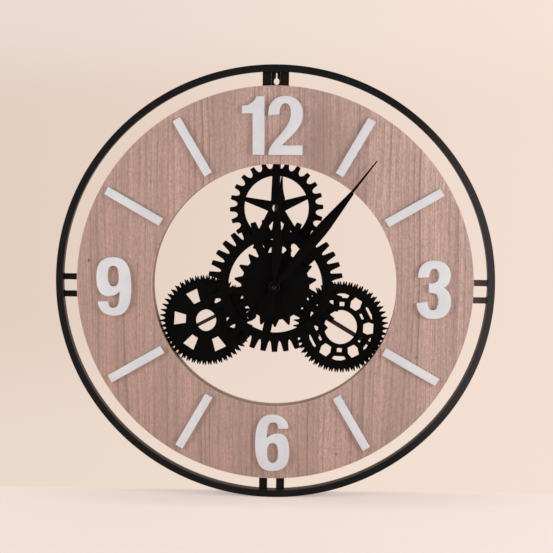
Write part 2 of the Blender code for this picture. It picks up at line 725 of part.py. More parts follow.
def movement_cover(plastic):
    """The box's back, open over the battery and round the setting knob."""
    outline = rounded_square(CASE_HALF, CASE_HALF, 0.0040)
    door = rounded_square(BATTERY_HALF + 0.0008, BATTERY_R - 0.0006, 0.0010, 2)
    battery_door = moved_points(door, 0.0, BATTERY_Z)
    knob_hole = circle(KNOB_R + 0.0006, 20, (0.0, WHEEL_DISTANCE))
    return plate("movement_cover", outline, [battery_door, knob_hole], COVER_BACK, COVER_FRONT, plastic)


def battery(wrap):
    """A pen-light cell lying across the movement."""
    end = BATTERY_HALF
    profile = [
        (BATTERY_R - 0.0006, -end),
        (BATTERY_R, -end + 0.0006),
        (BATTERY_R, end - 0.0020),
        (BATTERY_R - 0.0008, end - 0.0012),
        (0.0027, end - 0.0012),
        (0.0027, end),
    ]
    place = lambda a, along, b: (along, WALL_Y + a - BATTERY_H, b + BATTERY_Z)
    return round_piece("battery", profile, 20, wrap, place=place)


def battery_contacts(steel):
    """Bent plates at both ends of the cell, each with a tab up to the circuit."""
    top = BATTERY_Z + BATTERY_R + 0.0062
    low = BATTERY_Z - 0.0055
    tab = CASE_HALF - CASE_WALL - 0.0062
    for name, way in (("battery_contact_minus", -1.0), ("battery_contact_plus", 1.0)):
        face = way * (BATTERY_HALF + GAP)
        rear = face + way * CONTACT_THICK
        outline = [
            (face, low),
            (rear, low),
            (rear, top + CONTACT_THICK),
            (way * tab, top + CONTACT_THICK),
            (way * tab, top),
            (face, top),
        ]
        plate(name, outline, [], BATTERY_H - 0.0030, BATTERY_H + 0.0030, steel)


def wheel_ring(count, radius):
    """Small wheel teeth, three points to a tooth."""
    return tooth_outline(count, radius - WHEEL_TOOTH, radius, WHEEL_TOOTH_SHAPE, 0.0)


def hour_tube(brass):
    """The hour wheel and the tube that carries the hour hand."""
    low = HOUR_WHEEL_BACK
    top = low + WHEEL_THICK
    wheel = wheel_ring(WHEEL_TEETH, HOUR_WHEEL_R)
    bore = circle(SHAFT_R + GAP, WHEEL_POINTS)
    tube = circle(TUBE_R, WHEEL_POINTS)
    end = MINUTE_HAND_BACK - 0.0005
    layers = [(wheel, low), (wheel, top), (tube, top), (tube, end), (bore, end), (bore, low)]
    return stacked("hour_tube", layers, brass, closed=True)


def minute_arbor(steel):
    """The centre wheel, its pinion and the shaft that carries the minute hand."""
    shaft = circle(SHAFT_R, WHEEL_POINTS)
    wheel = wheel_ring(WHEEL_TEETH, CENTRE_WHEEL_R)
    pinion = wheel_ring(WHEEL_TEETH, MINUTE_PINION_R)
    layers = [
        (shaft, CENTRE_WHEEL_BACK - 0.0014),
        (shaft, CENTRE_WHEEL_BACK),
        (wheel, CENTRE_WHEEL_BACK),
        (wheel, CENTRE_WHEEL_BACK + WHEEL_THICK),
        (shaft, CENTRE_WHEEL_BACK + WHEEL_THICK),
        (shaft, TRANSFER_WHEEL_BACK),
        (pinion, TRANSFER_WHEEL_BACK),
        (pinion, TRANSFER_WHEEL_BACK + WHEEL_THICK),
        (shaft, TRANSFER_WHEEL_BACK + WHEEL_THICK),
        (shaft, MINUTE_HAND_BACK + HAND_THICK + 0.0014),
    ]
    return stacked("minute_arbor", layers, steel)


def transfer_wheel(brass):
    """The wheel and pinion that gear the minute shaft down to the hour tube."""
    axle = circle(0.0011, WHEEL_POINTS)
    wheel = wheel_ring(WHEEL_TEETH, TRANSFER_WHEEL_R)
    pinion = wheel_ring(WHEEL_TEETH, TRANSFER_PINION_R)
    layers = [
        (axle, COVER_FRONT + GAP),
        (axle, TRANSFER_WHEEL_BACK),
        (wheel, TRANSFER_WHEEL_BACK),
        (wheel, TRANSFER_WHEEL_BACK + WHEEL_THICK),
        (pinion, TRANSFER_WHEEL_BACK + WHEEL_THICK),
        (pinion, HOUR_WHEEL_BACK + WHEEL_THICK),
        (axle, HOUR_WHEEL_BACK + WHEEL_THICK),
        (axle, HOUR_WHEEL_BACK + WHEEL_THICK + 0.0014),
    ]
    return stacked("transfer_wheel", layers, brass, centre=(0.0, WHEEL_DISTANCE))


def setting_knob(plastic):
    """The knurled thumb knob on the back."""
    rim = [polar(15.0 * i, KNOB_R - 0.0004 * (i % 2)) for i in range(24)]
    cap = [polar(15.0 * i, KNOB_R - 0.0008) for i in range(24)]
    layers = [(cap, KNOB_BACK), (rim, KNOB_BACK + 0.0006), (rim, COVER_FRONT)]
    return stacked("setting_knob", layers, plastic, centre=(0.0, WHEEL_DISTANCE))


def drive_coil(copper):
    """The motor's coil on its bobbin, standing beside the wheels."""
    profile = [
        (COIL_R, -0.0020),
        (COIL_R, -0.0010),
        (COIL_R - 0.0008, -0.0010),
        (COIL_R - 0.0008, 0.0200),
        (COIL_R, 0.0200),
        (COIL_R, 0.0210),
    ]
    across = CASE_HALF - CASE_WALL - COIL_R - GAP
    height = CASE_FRONT - CASE_FACE - COIL_R - GAP
    place = lambda a, along, b: (a + across, WALL_Y + b - height, along)
    return round_piece("drive_coil", profile, 16, copper, place=place)


def circuit_board(green):
    """The board, held against the inside of the box's face."""
    middle = CASE_WALL - CASE_HALF + 0.0078
    front = CASE_FRONT - CASE_FACE - GAP
    outline = moved_points(rounded_square(0.0070, 0.0120, 0.0010, 2), middle, 0.0090)
    hole = circle(0.0016, 10, (middle, 0.0170))
    return plate("circuit_board", outline, [hole], front - 0.0010, front, green)


def threaded_bush(brass):
    """The bush that clamps the movement behind the gears: a flange inside the box and a threaded neck."""
    flange = CASE_FRONT - CASE_FACE - GAP
    profile = [
        (TUBE_R + GAP, flange - 0.0012),
        (0.0062, flange - 0.0012),
        (0.0062, flange),
        (BUSH_R, flange),
        (BUSH_R, BUSH_END - 0.0003),
        (BUSH_R - 0.0003, BUSH_END),
        (TUBE_R + GAP, BUSH_END),
    ]
    return round_piece("threaded_bush", profile, 20, brass, closed=True)


def washer(black):
    back = SMALL_GEAR_FRONT + GAP
    front = back + WASHER_THICK
    profile = [(BUSH_R + GAP, back), (0.0078, back), (0.0078, front), (BUSH_R + GAP, front)]
    return round_piece("washer", profile, 20, black, closed=True)


def hex_nut(black):
    """The flanged fixing nut."""
    count = 18
    flats = []
    for i in range(count):
        a = 360.0 * i / count
        inside = (a % 60.0) - 30.0
        flats.append(polar(a, 0.0054 / math.cos(math.radians(inside))))
    crown = circle(0.0053, count)
    bore = circle(BUSH_R + GAP, count)
    layers = [
        (bore, NUT_BACK),
        (flats, NUT_BACK),
        (flats, NUT_FRONT - 0.0005),
        (crown, NUT_FRONT),
        (bore, NUT_FRONT),
    ]
    return stacked("hex_nut", layers, black, closed=True)


def hand_outline(stations, hub_r, angle):
    """A hand's outline from (distance, half width) stations in front of and behind a round hub."""
    ahead = [s for s in stations if s[0] > 0]
    behind = [s for s in stations if s[0] < 0]
    first = math.degrees(math.asin(ahead[0][1] / hub_r))
    last = 180.0 - math.degrees(math.asin(behind[0][1] / hub_r))
    right = [(half, out) for out, half in reversed(ahead)]
    right += arc((0.0, 0.0), hub_r, hub_r, first, last, 9)
    right += [(half, out) for out, half in behind]
    left = [(-x, z) for x, z in reversed(right) if x > 0.00001]
    return turned_points(right + left, angle)


def minute_hand(black):
    """A long blade that ends in a needle, with a round weight behind."""
    scale = MINUTE_HAND_LENGTH / 226.2
    weight_r = 6.6
    weight_out = 49.0
    weight = [(step - weight_out, math.sqrt(weight_r ** 2 - step ** 2)) for step in (5.8, 3.4, 0.0, -3.4)]
    stations = [
        (8.0, 1.9),
        (30.0, 3.1),
        (64.0, 5.6),
        (90.0, 7.9),
        (100.0, 8.3),
        (110.0, 8.0),
        (140.0, 5.3),
        (170.0, 2.6),
        (173.0, 1.3),
        (226.2, 0.4),
        (-8.0, 1.5),
        (-42.8, 1.1),
        *weight,
        (-55.0, 2.6),
    ]
    outline = hand_outline(scaled_points(stations, scale), 0.0056, MINUTE_HAND_ANGLE)
    back = MINUTE_HAND_BACK
    return plate("minute_hand", outline, [circle(SHAFT_R + GAP, 16)], back, back + HAND_THICK, black)


def hour_hand(black):
    """A thin stem with a spear head and a short leaf tail."""
    scale = HOUR_HAND_LENGTH / 169.4
    stations = [
        (9.0, 1.8),
        (108.0, 2.2),
        (116.0, 3.0),
        (120.5, 5.8),
        (124.0, 6.0),
        (132.0, 4.2),
        (142.0, 2.6),
        (154.0, 1.6),
        (169.4, 0.4),
        (-9.0, 1.5),
        (-20.0, 3.0),
        (-30.0, 3.6),
        (-34.5, 0.6),
    ]
    outline = hand_outline(scaled_points(stations, scale), 0.0066, HOUR_HAND_ANGLE)
    back = HOUR_HAND_BACK
    return plate("hour_hand", outline, [circle(TUBE_R + GAP, 20)], back, back + HAND_THICK, black)


def cap_nut(black):
    """The cap over the end of the minute shaft."""
    low = MINUTE_HAND_BACK + HAND_THICK + GAP
    profile = [
        (0.0004, low + 0.0014),
        (SHAFT_R + GAP, low + 0.0014),
        (SHAFT_R + GAP, low),
        (0.0034, low),
        (0.0034, low + 0.0012),
        (0.0029, low + 0.0021),
        (0.0018, low + CAP_HEIGHT - 0.0002),
        (0.0004, low + CAP_HEIGHT),
    ]
    return round_piece("cap_nut", profile, 18, black)


def build_all():
    clear_scene()
    black = paint("black_steel", (0.018, 0.018, 0.020), 0.0, 0.38)
    veneer = paint("veneer", (0.46, 0.33, 0.27), 0.0, 0.55)
    white = paint("white_acrylic", (0.80, 0.82, 0.84), 0.0, 0.32)
    plastic = paint("movement_plastic", (0.03, 0.03, 0.03), 0.0, 0.50)
    steel = paint("bright_steel", (0.55, 0.55, 0.56), 1.0, 0.30)
    brass = paint("brass", (0.62, 0.45, 0.18), 1.0, 0.35)
    copper = paint("coil_copper", (0.50, 0.20, 0.08), 0.6, 0.45)
    green = paint("board_green", (0.03, 0.16, 0.06), 0.0, 0.45)
    wrap = paint("battery_wrap", (0.10, 0.12, 0.14), 0.0, 0.35)
    screw_holes = screw_hole_cutter(plastic)
    outer_ring(black)
    rear_hoop(veneer)
    wood_ring(veneer, screw_holes)
    upright_bars(black, screw_holes)
    side_bars(black)
    wood_screws(steel)
    hanger_plate(black)
    hour_marks(white)
    numerals(white)
    top_gear(black)
    right_gear(black)
    left_gear(black)
    gear_backings(black)
    centre_gear_large(black)
    centre_gear_small(black)
    struts(black)
    movement_case(plastic)
    movement_cover(plastic)
    battery(wrap)
    battery_contacts(steel)
    hour_tube(brass)
    minute_arbor(steel)
    transfer_wheel(brass)
    setting_knob(plastic)
    drive_coil(copper)
    circuit_board(green)
    threaded_bush(brass)
    washer(black)
    hex_nut(black)
    hour_hand(black)
    minute_hand(black)
    cap_nut(black)


build_all()
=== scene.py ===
"""Round metal wall clock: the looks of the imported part, seen from a little above and right of its middle.

Shapes are worked out in millimetres as (x, z, h): to the right, up, and out from the wall. Clock angles are
degrees from twelve, clockwise as seen from the front.
"""
import json
import math
from functools import partialmethod

import bmesh
import bpy
import numpy as np
from mathutils import Matrix, Vector
from mathutils.geometry import delaunay_2d_cdt

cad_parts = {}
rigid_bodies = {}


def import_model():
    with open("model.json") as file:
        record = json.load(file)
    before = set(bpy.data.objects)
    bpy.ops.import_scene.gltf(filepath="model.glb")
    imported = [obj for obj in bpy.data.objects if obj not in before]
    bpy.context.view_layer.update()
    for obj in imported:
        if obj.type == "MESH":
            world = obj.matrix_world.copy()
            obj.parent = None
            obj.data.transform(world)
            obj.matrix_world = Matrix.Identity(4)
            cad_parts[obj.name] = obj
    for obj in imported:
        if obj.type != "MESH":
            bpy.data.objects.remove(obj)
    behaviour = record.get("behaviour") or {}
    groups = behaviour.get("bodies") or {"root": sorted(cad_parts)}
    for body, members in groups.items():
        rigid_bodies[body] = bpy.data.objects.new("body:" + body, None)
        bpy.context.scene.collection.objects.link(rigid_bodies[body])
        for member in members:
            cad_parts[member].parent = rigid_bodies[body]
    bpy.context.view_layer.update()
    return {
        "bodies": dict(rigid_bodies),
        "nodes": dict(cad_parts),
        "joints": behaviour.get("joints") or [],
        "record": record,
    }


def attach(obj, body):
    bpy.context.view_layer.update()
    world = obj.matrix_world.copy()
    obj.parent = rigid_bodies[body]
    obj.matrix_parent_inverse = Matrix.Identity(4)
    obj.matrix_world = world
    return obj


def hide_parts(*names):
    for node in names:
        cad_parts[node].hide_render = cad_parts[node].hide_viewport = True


WALL = 17.3
BODY = "clock_body"

# Rings are inner radius, outer radius, back and front. A name that ends in _H holds a back and a front.
RING = (291.5, 301.0, 0.0, 25.0)
RING_STEP = 11.0
OVAL = 0.9955
FLANGE = 4.4
BOARD = (167.6, 272.0, 19.0, 25.0)
HOOP = (167.0, 180.0, 9.0, 13.8)
HOOP_X = 1.1

# Upright bars are name, clock angle, side of the middle and side of the lip.
UPRIGHTS = (
    ("top_left", 0, -1, 1),
    ("top_right", 0, 1, 1),
    ("bottom_right", 180, -1, -1),
    ("bottom_left", 180, 1, -1),
)
BAR_H = (14.1, 18.7)
BAR_OFFSET = 12.0
UPRIGHT_HALF = 5.7
SIDE_HALF = 4.1
SIDE_DROP = 3.0
FRAME_TURN = 0.5
TOP_BAR_X = -1.7
PLATE_X = -0.6
PLATE_H = (14.1, 16.1)

# Half a tooth is points of (share of the pitch, share of the height), from its foot to its top.
BLUNT = ((-0.432, 0.048), (-0.326, 0.119), (-0.22, 0.41), (-0.161, 1.0))
LONG = ((-0.398, 0.046), (-0.307, 0.235), (-0.181, 1.0))
SHARP = ((-0.344, 0.0), (-0.057, 1.0))
FINE = ((-0.39, 0.0), (-0.215, 0.33), (-0.05, 1.0))

# Places of the outer gears are clock angle and distance from the middle.
TOP_PLACE = (1.4, 107.6)
TOP_TIP = 63.4
BLUNT_TOOTH = 10.2
STAR_RIM = 43.9
STAR_VALLEY = 12.6
RIGHT_PLACE = (121.5, 107.8)
RIGHT_TIP = 63.7
LEFT_PLACE = (242.8, 105.8)
LEFT_TIP = 62.8
FINE_TOOTH = 7.5
FINE_SHIFT = 1.6
FINE_PLATE = 0.95
GEAR_H = (16.5, 18.7)

# Struts are name, clock angle and half width.
STRUTS = (("top", 1.6, 3.5), ("right", 121.2, 3.0), ("left", 242.4, 2.4))
STRUT_H = (14.1, 16.2)

# Gears about the middle are radii at root and tip. Spoke edges are distances from the spoke's line.
CENTRE = (1.5, 0.7)
SMALL_GEAR = (46.8, 56.7)
SMALL_GEAR_H = (21.1, 22.9)
LARGE_GEAR = (76.6, 92.2)
LARGE_GEAR_H = (19.0, 20.8)
LARGE_WINDOW = (43.0, 65.2)
SPOKE_EDGES = ((8.5, 5.0), (5.0, 6.6), (3.7, 5.0), (3.6, 3.65), (6.2, 2.5))
SHAFT_BORE = 4.1

MARK_R = 219.5
MARK_HALF = (5.75, 42.5)
MARK_H = (25.02, 28.3)
DIAL_X = -1.4

HOUR_TURN = 3.8
MINUTE_TURN = 38.9
HAND_THICK = 1.0
CREASE = 0.55

# The cell is radius, half length, height of its axis and how far up it lies.
CASE_HALF = 28.0
CELL = (7.0, 25.0, 10.4, -18.5)
KNOB_Z = 10.3

# Knots are x, z and size.
KNOTS = ((-254.5, 35.0, 2.6), (196.0, -96.0, 1.8), (-120.0, 214.0, 1.6), (88.0, -236.0, 1.7))

PAPER = (0.930, 0.795, 0.735)
ROOM_LIGHT = 0.285

# What the camera sees round the clock is one tone at the left and one at the right, painted light and shade
# on the backdrop that is darkest at the middle left.
BACKDROP = ((0.770, 0.620, 0.525), (0.905, 0.750, 0.650))
BACKDROP_LOW = ((0.823, 0.686, 0.591), (0.905, 0.753, 0.650))
BACKDROP_HIGH = ((0.815, 0.694, 0.638), (0.950, 0.778, 0.676))
FRONT_PAPER = ((1.000, 0.840, 0.770), (1.065, 0.885, 0.795))


def clock(angle, radius, centre=(0.0, 0.0)):
    """Points at clock angles and radii: x = cx + r sin a, z = cz + r cos a."""
    a = np.radians(angle)
    return np.stack([centre[0] + radius * np.sin(a), centre[1] + radius * np.cos(a)], -1)


def arc(centre, rx, rz, start, end, steps, power=2.0):
    """A superellipse between two clock angles: x = cx + rx sin^(2/p) a, z = cz + rz cos^(2/p) a."""
    a = np.radians(np.linspace(start, end, steps + 1))
    s, c = np.sin(a), np.cos(a)
    x = np.sign(s) * np.abs(s) ** (2.0 / power)
    z = np.sign(c) * np.abs(c) ** (2.0 / power)
    return np.stack([centre[0] + rx * x, centre[1] + rz * z], 1)


def around(steps):
    """Evenly spaced clock angles, one to a row."""
    return np.arange(steps)[:, None] * 360.0 / steps


def ring_of(radius, steps, centre=(0.0, 0.0)):
    """A circle of evenly spaced points."""
    return clock(around(steps), radius, centre)[:, 0]


def oblong(x0, x1, z0, z1):
    """The corners of an upright rectangle."""
    return [(x0, z0), (x1, z0), (x1, z1), (x0, z1)]


def mirrored(*half):
    """The points of one half and then their mirror image, back to the start."""
    return [*half, *[(-x, z) for x, z in reversed(half)]]


def bend(p0, p1, p2, p3, steps):
    """A cubic curve from p0 to p3 pulled towards p1 and p2, without its first point."""
    t = np.linspace(0.0, 1.0, steps + 1)[1:, None]
    u = 1.0 - t
    p0, p1, p2, p3 = (np.array(p, float) for p in (p0, p1, p2, p3))
    return u ** 3 * p0 + 3 * u * u * t * p1 + 3 * u * t * t * p2 + t ** 3 * p3


def turned(points, angle):
    """Points turned clockwise about the middle."""
    a = math.radians(angle)
    c, s = math.cos(a), math.sin(a)
    points = np.asarray(points, float)
    return (points.reshape(-1, 2) @ np.array([[c, -s], [s, c]])).reshape(points.shape)


def along(angle, across, out):
    """Points that lie this far out along a clock angle and this far across it, to its right."""
    return turned(np.stack(np.broadcast_arrays(across, out), -1), angle)


def raised(flat, heights):
    """Points (x, z) with their heights joined on, as (x, z, h)."""
    return np.concatenate([flat, np.broadcast_to(heights, flat.shape[:-1])[..., None]], -1)


def softened(points, radius, steps=3):
    """A polygon whose corners become short parabolas that leave each edge a radius from the corner."""
    p = np.asarray(points, float)
    before, after = np.roll(p, 1, 0) - p, np.roll(p, -1, 0) - p
    reach = np.minimum(np.linalg.norm(before, axis=1), np.linalg.norm(after, axis=1)) * 0.45
    cut = np.minimum(np.broadcast_to(radius, reach.shape), reach)[:, None]
    a = p + before / np.linalg.norm(before, axis=1, keepdims=True) * cut
    b = p + after / np.linalg.norm(after, axis=1, keepdims=True) * cut
    t = np.linspace(0.0, 1.0, steps + 1)[:, None]
    curve = (1 - t) ** 2 * a[:, None] + 2 * t * (1 - t) * p[:, None] + t * t * b[:, None]
    return curve.reshape(-1, 2)


def area(loop):
    """Signed area of a loop, positive when it runs against the clock."""
    x, z = loop[:, 0], loop[:, 1]
    return 0.5 * float(np.sum(x * np.roll(z, -1) - np.roll(x, -1) * z))


def oriented(outline, holes):
    """The outline against the clock and its holes with it, so that the material is on each loop's left."""
    loops = [outline if area(outline) > 0 else outline[::-1]]
    return loops + [hole[::-1] if area(hole) > 0 else hole for hole in holes]


def inset(loop, by):
    """Each point moved to the loop's left along the mean of its two edges' normals, further at a corner."""
    ahead = np.roll(loop, -1, 0) - loop
    ahead = ahead / np.maximum(np.linalg.norm(ahead, axis=1, keepdims=True), 1e-9)
    mid = ahead + np.roll(ahead, 1, 0)
    normal = np.stack([-mid[:, 1], mid[:, 0]], 1)
    return loop + by * normal * 2.0 / np.maximum(np.sum(mid * mid, 1, keepdims=True), 1.0)


def thickened(outline, holes, grow, widen=0.0):
    """Loops moved out by grow, and sideways by widen tanh(4 n), where n tells how far an edge faces x."""
    made = []
    for loop in oriented(outline, holes):
        ahead = np.roll(loop, -1, 0) - np.roll(loop, 1, 0)
        facing = -ahead[:, 1] / np.maximum(np.linalg.norm(ahead, axis=1), 1e-9)
        made.append(inset(loop, -grow) - np.column_stack([np.tanh(4.0 * facing) * widen, 0.0 * facing]))
    return made[0], made[1:]


def within(points, loops):
    """True where a line to the right of a point crosses the loops an odd number of times."""
    a = np.concatenate(loops)
    b = np.concatenate([np.roll(loop, -1, 0) for loop in loops])
    x, z = points[:, :1], points[:, 1:]
    spans = (a[:, 1] > z) != (b[:, 1] > z)
    rise = np.where(a[:, 1] == b[:, 1], 1.0, b[:, 1] - a[:, 1])
    cross = a[:, 0] + (z - a[:, 1]) * (b[:, 0] - a[:, 0]) / rise
    return np.sum(spans & (x < cross), 1) % 2 == 1


def placed(name, data):
    """An object with this data, put in the scene."""
    made = bpy.data.objects.new(name, data)
    bpy.context.scene.collection.objects.link(made)
    return made


class Piece:
    """Grids and flat fills in millimetres, joined into one closed mesh that stands for a CAD node."""

    def __init__(self, name):
        self.name = name
        self.points, self.faces, self.finish, self.flat = [], [], [], []

    def add(self, points, faces, finish, flat):
        """Keeps a block of points and the faces on it, each a row of point numbers."""
        self.faces += (faces + sum(map(len, self.points))).tolist()
        self.points.append(points.reshape(-1, 3))
        self.finish += [finish] * len(faces)
        self.flat += [flat] * len(faces)

    def grid(self, points, wrap_u=False, wrap_v=False, finish=0):
        """A surface of two parameters, points[u, v], with a face between each four neighbours."""
        nu, nv = points.shape[:2]
        u, v = np.meshgrid(np.arange(nu - (not wrap_u)), np.arange(nv - (not wrap_v)), indexing="ij")
        u1, v1 = (u + 1) % nu, (v + 1) % nv
        faces = np.stack([u * nv + v, u1 * nv + v, u1 * nv + v1, u * nv + v1], -1).reshape(-1, 4)
        self.add(points, faces, finish, False)
        return self

    def end(self, points):
        """One flat face over a loop of points."""
        self.add(points, np.arange(len(points))[None], 0, True)
        return self

    def fill(self, loops, height):
        """The flat face between an outline and its holes."""
        flat = np.concatenate(loops)
        starts = np.cumsum([0] + [len(loop) for loop in loops])
        edges = [(s + i, s + (i + 1) % n) for s, n in zip(starts, np.diff(starts)) for i in range(n)]
        made = delaunay_2d_cdt([Vector(p) for p in flat.tolist()], edges, [], 0, 1e-7)
        corners = np.array([tuple(p) for p in made[0]])
        faces = np.array([tuple(f) for f in made[2] if len(f) == 3])
        faces = faces[within(corners[faces].mean(1), loops)]
        self.add(raised(corners, height), faces, 0, True)
        return self

    def plate(self, outline, holes, back, front, edge, steps=2):
        """A flat piece with quarter-round edges: inset by e (1 - sin t) at e (1 - cos t) from each face."""
        loops = oriented(outline, holes)
        t = np.linspace(0.0, math.pi / 2, steps + 1)
        pull, rise = edge * (1 - np.sin(t)), edge * (1 - np.cos(t))
        insets = np.concatenate([pull, pull[::-1]])
        heights = np.concatenate([back + rise, front - rise[::-1]])
        for loop in loops:
            rows = [raised(inset(loop, s), h) for s, h in zip(insets, heights)]
            self.grid(np.stack(rows), wrap_v=True)
        rims = [inset(loop, edge) for loop in loops]
        return self.fill(rims, back).fill(rims, front)

    def lathe(self, section, steps, centre=(0.0, 0.0), wrap=True, finish=0):
        """A section of (radius, height) points swept round an axis that stands out from the wall."""
        radius, heights = np.transpose(section)
        points = raised(clock(around(steps), radius, centre), heights)
        return self.grid(points, wrap_u=True, wrap_v=wrap, finish=finish)

    def join(self, node, *finishes, body=BODY, slot="black_steel", sharp=30.0):
        """Joins what was added, points it outwards, and hangs it on its body in the CAD node's place."""
        points = np.concatenate(self.points)
        world = np.stack([points[:, 0], WALL - points[:, 2], points[:, 1]], 1) * 0.001
        data = bpy.data.meshes.new(self.name)
        data.from_pydata(world.tolist(), [], self.faces)
        data.polygons.foreach_set("material_index", self.finish)
        data.polygons.foreach_set("use_smooth", [not f for f in self.flat])
        mesh = bmesh.new()
        mesh.from_mesh(data)
        bmesh.ops.remove_doubles(mesh, verts=mesh.verts, dist=2e-6)
        bmesh.ops.dissolve_degenerate(mesh, edges=mesh.edges, dist=1e-6)
        bmesh.ops.recalc_face_normals(mesh, faces=mesh.faces)
        mesh.to_mesh(data)
        mesh.free()
        data.set_sharp_from_angle(angle=math.radians(sharp))
        for finish in finishes:
            data.materials.append(finish)
        made = placed(self.name, data)
        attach(made, body)
        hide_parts(node)


class Link:
    """A shader socket. Sums written with it add Math nodes, and numbers alone stay in Python."""

    def __init__(self, shader, socket):
        self.shader = shader
        self.socket = socket

    def math(self, operation, *others):
        """A Math node on this socket and the values after it."""
        values = dict(enumerate((self, *others)))
        return self.shader.node("ShaderNodeMath", {"operation": operation}, values)

    def other(self, operation, value):
        """A Math node on a value and this socket."""
        return self.shader.node("ShaderNodeMath", {"operation": operation}, {0: value, 1: self})

    __add__ = __radd__ = partialmethod(math, "ADD")
    __sub__ = partialmethod(math, "SUBTRACT")
    __rsub__ = partialmethod(other, "SUBTRACT")
    __mul__ = __rmul__ = partialmethod(math, "MULTIPLY")
    __truediv__ = partialmethod(math, "DIVIDE")
    __pow__ = partialmethod(math, "POWER")
    __gt__ = partialmethod(math, "GREATER_THAN")
    __abs__ = partialmethod(math, "ABSOLUTE")

    def clipped(self):
        """Held between 0 and 1."""
        return self.math("MAXIMUM", 0.0).math("MINIMUM", 1.0)

    def between(self, low, high, to_low=0.0, to_high=1.0):
        """Rises smoothly from to_low at low to to_high at high."""
        settings = {"interpolation_type": "SMOOTHSTEP"}
        values = {0: self, 1: low, 2: high, 3: to_low, 4: to_high}
        return self.shader.node("ShaderNodeMapRange", settings, values)


class Shader:
    """A material, or the world, built from nodes."""

    def __init__(self, name, kind="materials", end="ShaderNodeOutputMaterial", place="Object"):
        self.made = getattr(bpy.data, kind).new(name)
        self.made.use_nodes = True
        self.tree = self.made.node_tree
        self.tree.nodes.clear()
        self.output = self.tree.nodes.new(end)
        self.place = self.node("ShaderNodeTexCoord", out=place)

    def node(self, kind, settings=None, values=None, out=0):
        """A node of any type: its settings first, then the values or links of its sockets."""
        made = self.tree.nodes.new(kind)
        for key, value in (settings or {}).items():
            setattr(made, key, value)
        for key, value in (values or {}).items():
            if isinstance(value, Link):
                self.tree.links.new(value.socket, made.inputs[key])
            else:
                made.inputs[key].default_value = value
        return Link(self, made.outputs[out])

    def axis(self, name):
        """One of the object coordinates, in metres."""
        return self.node("ShaderNodeSeparateXYZ", None, {0: self.place}, name)

    def noise(self, scale, detail=2.0, rough=0.5, shift=(0.0, 0.0, 0.0), vector=None):
        """Noise on object coordinates, from 0 to 1. Scale is one number, or one each for x, y and z."""
        if vector is None:
            scale = scale if isinstance(scale, tuple) else (scale,) * 3
            moved = {"Vector": self.place, "Scale": scale, "Location": shift}
            vector = self.node("ShaderNodeMapping", None, moved)
        values = {"Vector": vector, "Scale": 1.0, "Detail": detail, "Roughness": rough}
        return self.node("ShaderNodeTexNoise", None, values)

    def mix(self, share, a, b):
        """Colour a turning to colour b by share."""
        a, b = ((*c, 1.0) if isinstance(c, tuple) else c for c in (a, b))
        return self.node("ShaderNodeMix", {"data_type": "RGBA"}, {0: share, 6: a, 7: b}, 2)

    def bump(self, height, distance, strength=1.0, normal=None):
        """A normal tilted by the slope of a height, on top of another normal if one is given."""
        values = {"Height": height, "Distance": distance, "Strength": strength}
        if normal:
            values["Normal"] = normal
        return self.node("ShaderNodeBump", None, values)

    def finish(self, **values):
        """Ends the material in a Principled shader. Underscores in names stand for spaces."""
        named = {key.replace("_", " "): value for key, value in values.items()}
        return self.surface(self.node("ShaderNodeBsdfPrincipled", None, named))

    def surface(self, shader):
        """Ends the material or the world in this shader."""
        self.tree.links.new(shader.socket, self.output.inputs["Surface"])
        return self.made

    def ray(self, kind):
        """1 for rays of this kind and 0 for others."""
        return self.node("ShaderNodeLightPath", out="Is %s Ray" % kind)

    def seen_plain(self):
        """1 where a ray comes from the camera, a reflection or a view through glass, and 0 for soft light."""
        return (self.ray("Camera") + self.ray("Glossy") + self.ray("Transmission")).clipped()


def powder_coat(name, colour, shine, gloss, peel=1.0, right=None):
    """Baked powder paint: mottled, with fine orange peel, dust on what faces up and a painted sheen on the
    right side.
    """
    s = Shader(name)
    mottle = s.noise(45.0, 3.0, 0.6)
    grit = s.noise(700.0, 2.0, 0.55)
    up = s.node("ShaderNodeSeparateXYZ", None, {0: s.node("ShaderNodeNewGeometry", out="Normal")}, "Z")
    dust = up.between(0.55, 1.0) * s.noise(160.0, 4.0, 0.7).between(0.35, 0.75)
    shade = s.mix(mottle.between(0.3, 0.7), colour, tuple(c * 1.45 for c in colour))
    # From x 0.16 m to 0.29 m the colour turns to the given one: a painted sheen for the right lamp's
    # reflection.
    if right:
        shade = s.mix(s.axis("X").between(0.16, 0.29), shade, right)
    shade = s.mix(dust * 0.06, shade, (0.16, 0.15, 0.14))
    rough = shine + (mottle - 0.5) * 0.14 + (grit - 0.5) * 0.10 + dust * 0.12
    normal = s.bump(grit, 0.00006 * peel, 0.55, s.bump(mottle, 0.0002, 0.10))
    return s.finish(Base_Color=shade, Roughness=rough.clipped(), Normal=normal, Specular_IOR_Level=gloss)


def wall_with_painted_reflection(name, front, rear):
    """Black paint whose painted reflection of the warm wood grows browner towards the rear."""
    s = Shader(name)
    grit = s.noise(700.0, 2.0, 0.55)
    # Painted reflection: browner towards the rear, where the wall would mirror the warm wood and backdrop.
    shade = s.mix(s.axis("Y").between(-0.0060, 0.0063), front, rear)
    rough = 0.45 + (grit - 0.5) * 0.2
    normal = s.bump(grit, 0.00006, 0.5)
    return s.finish(Base_Color=shade, Roughness=rough, Normal=normal, Specular_IOR_Level=0.12)


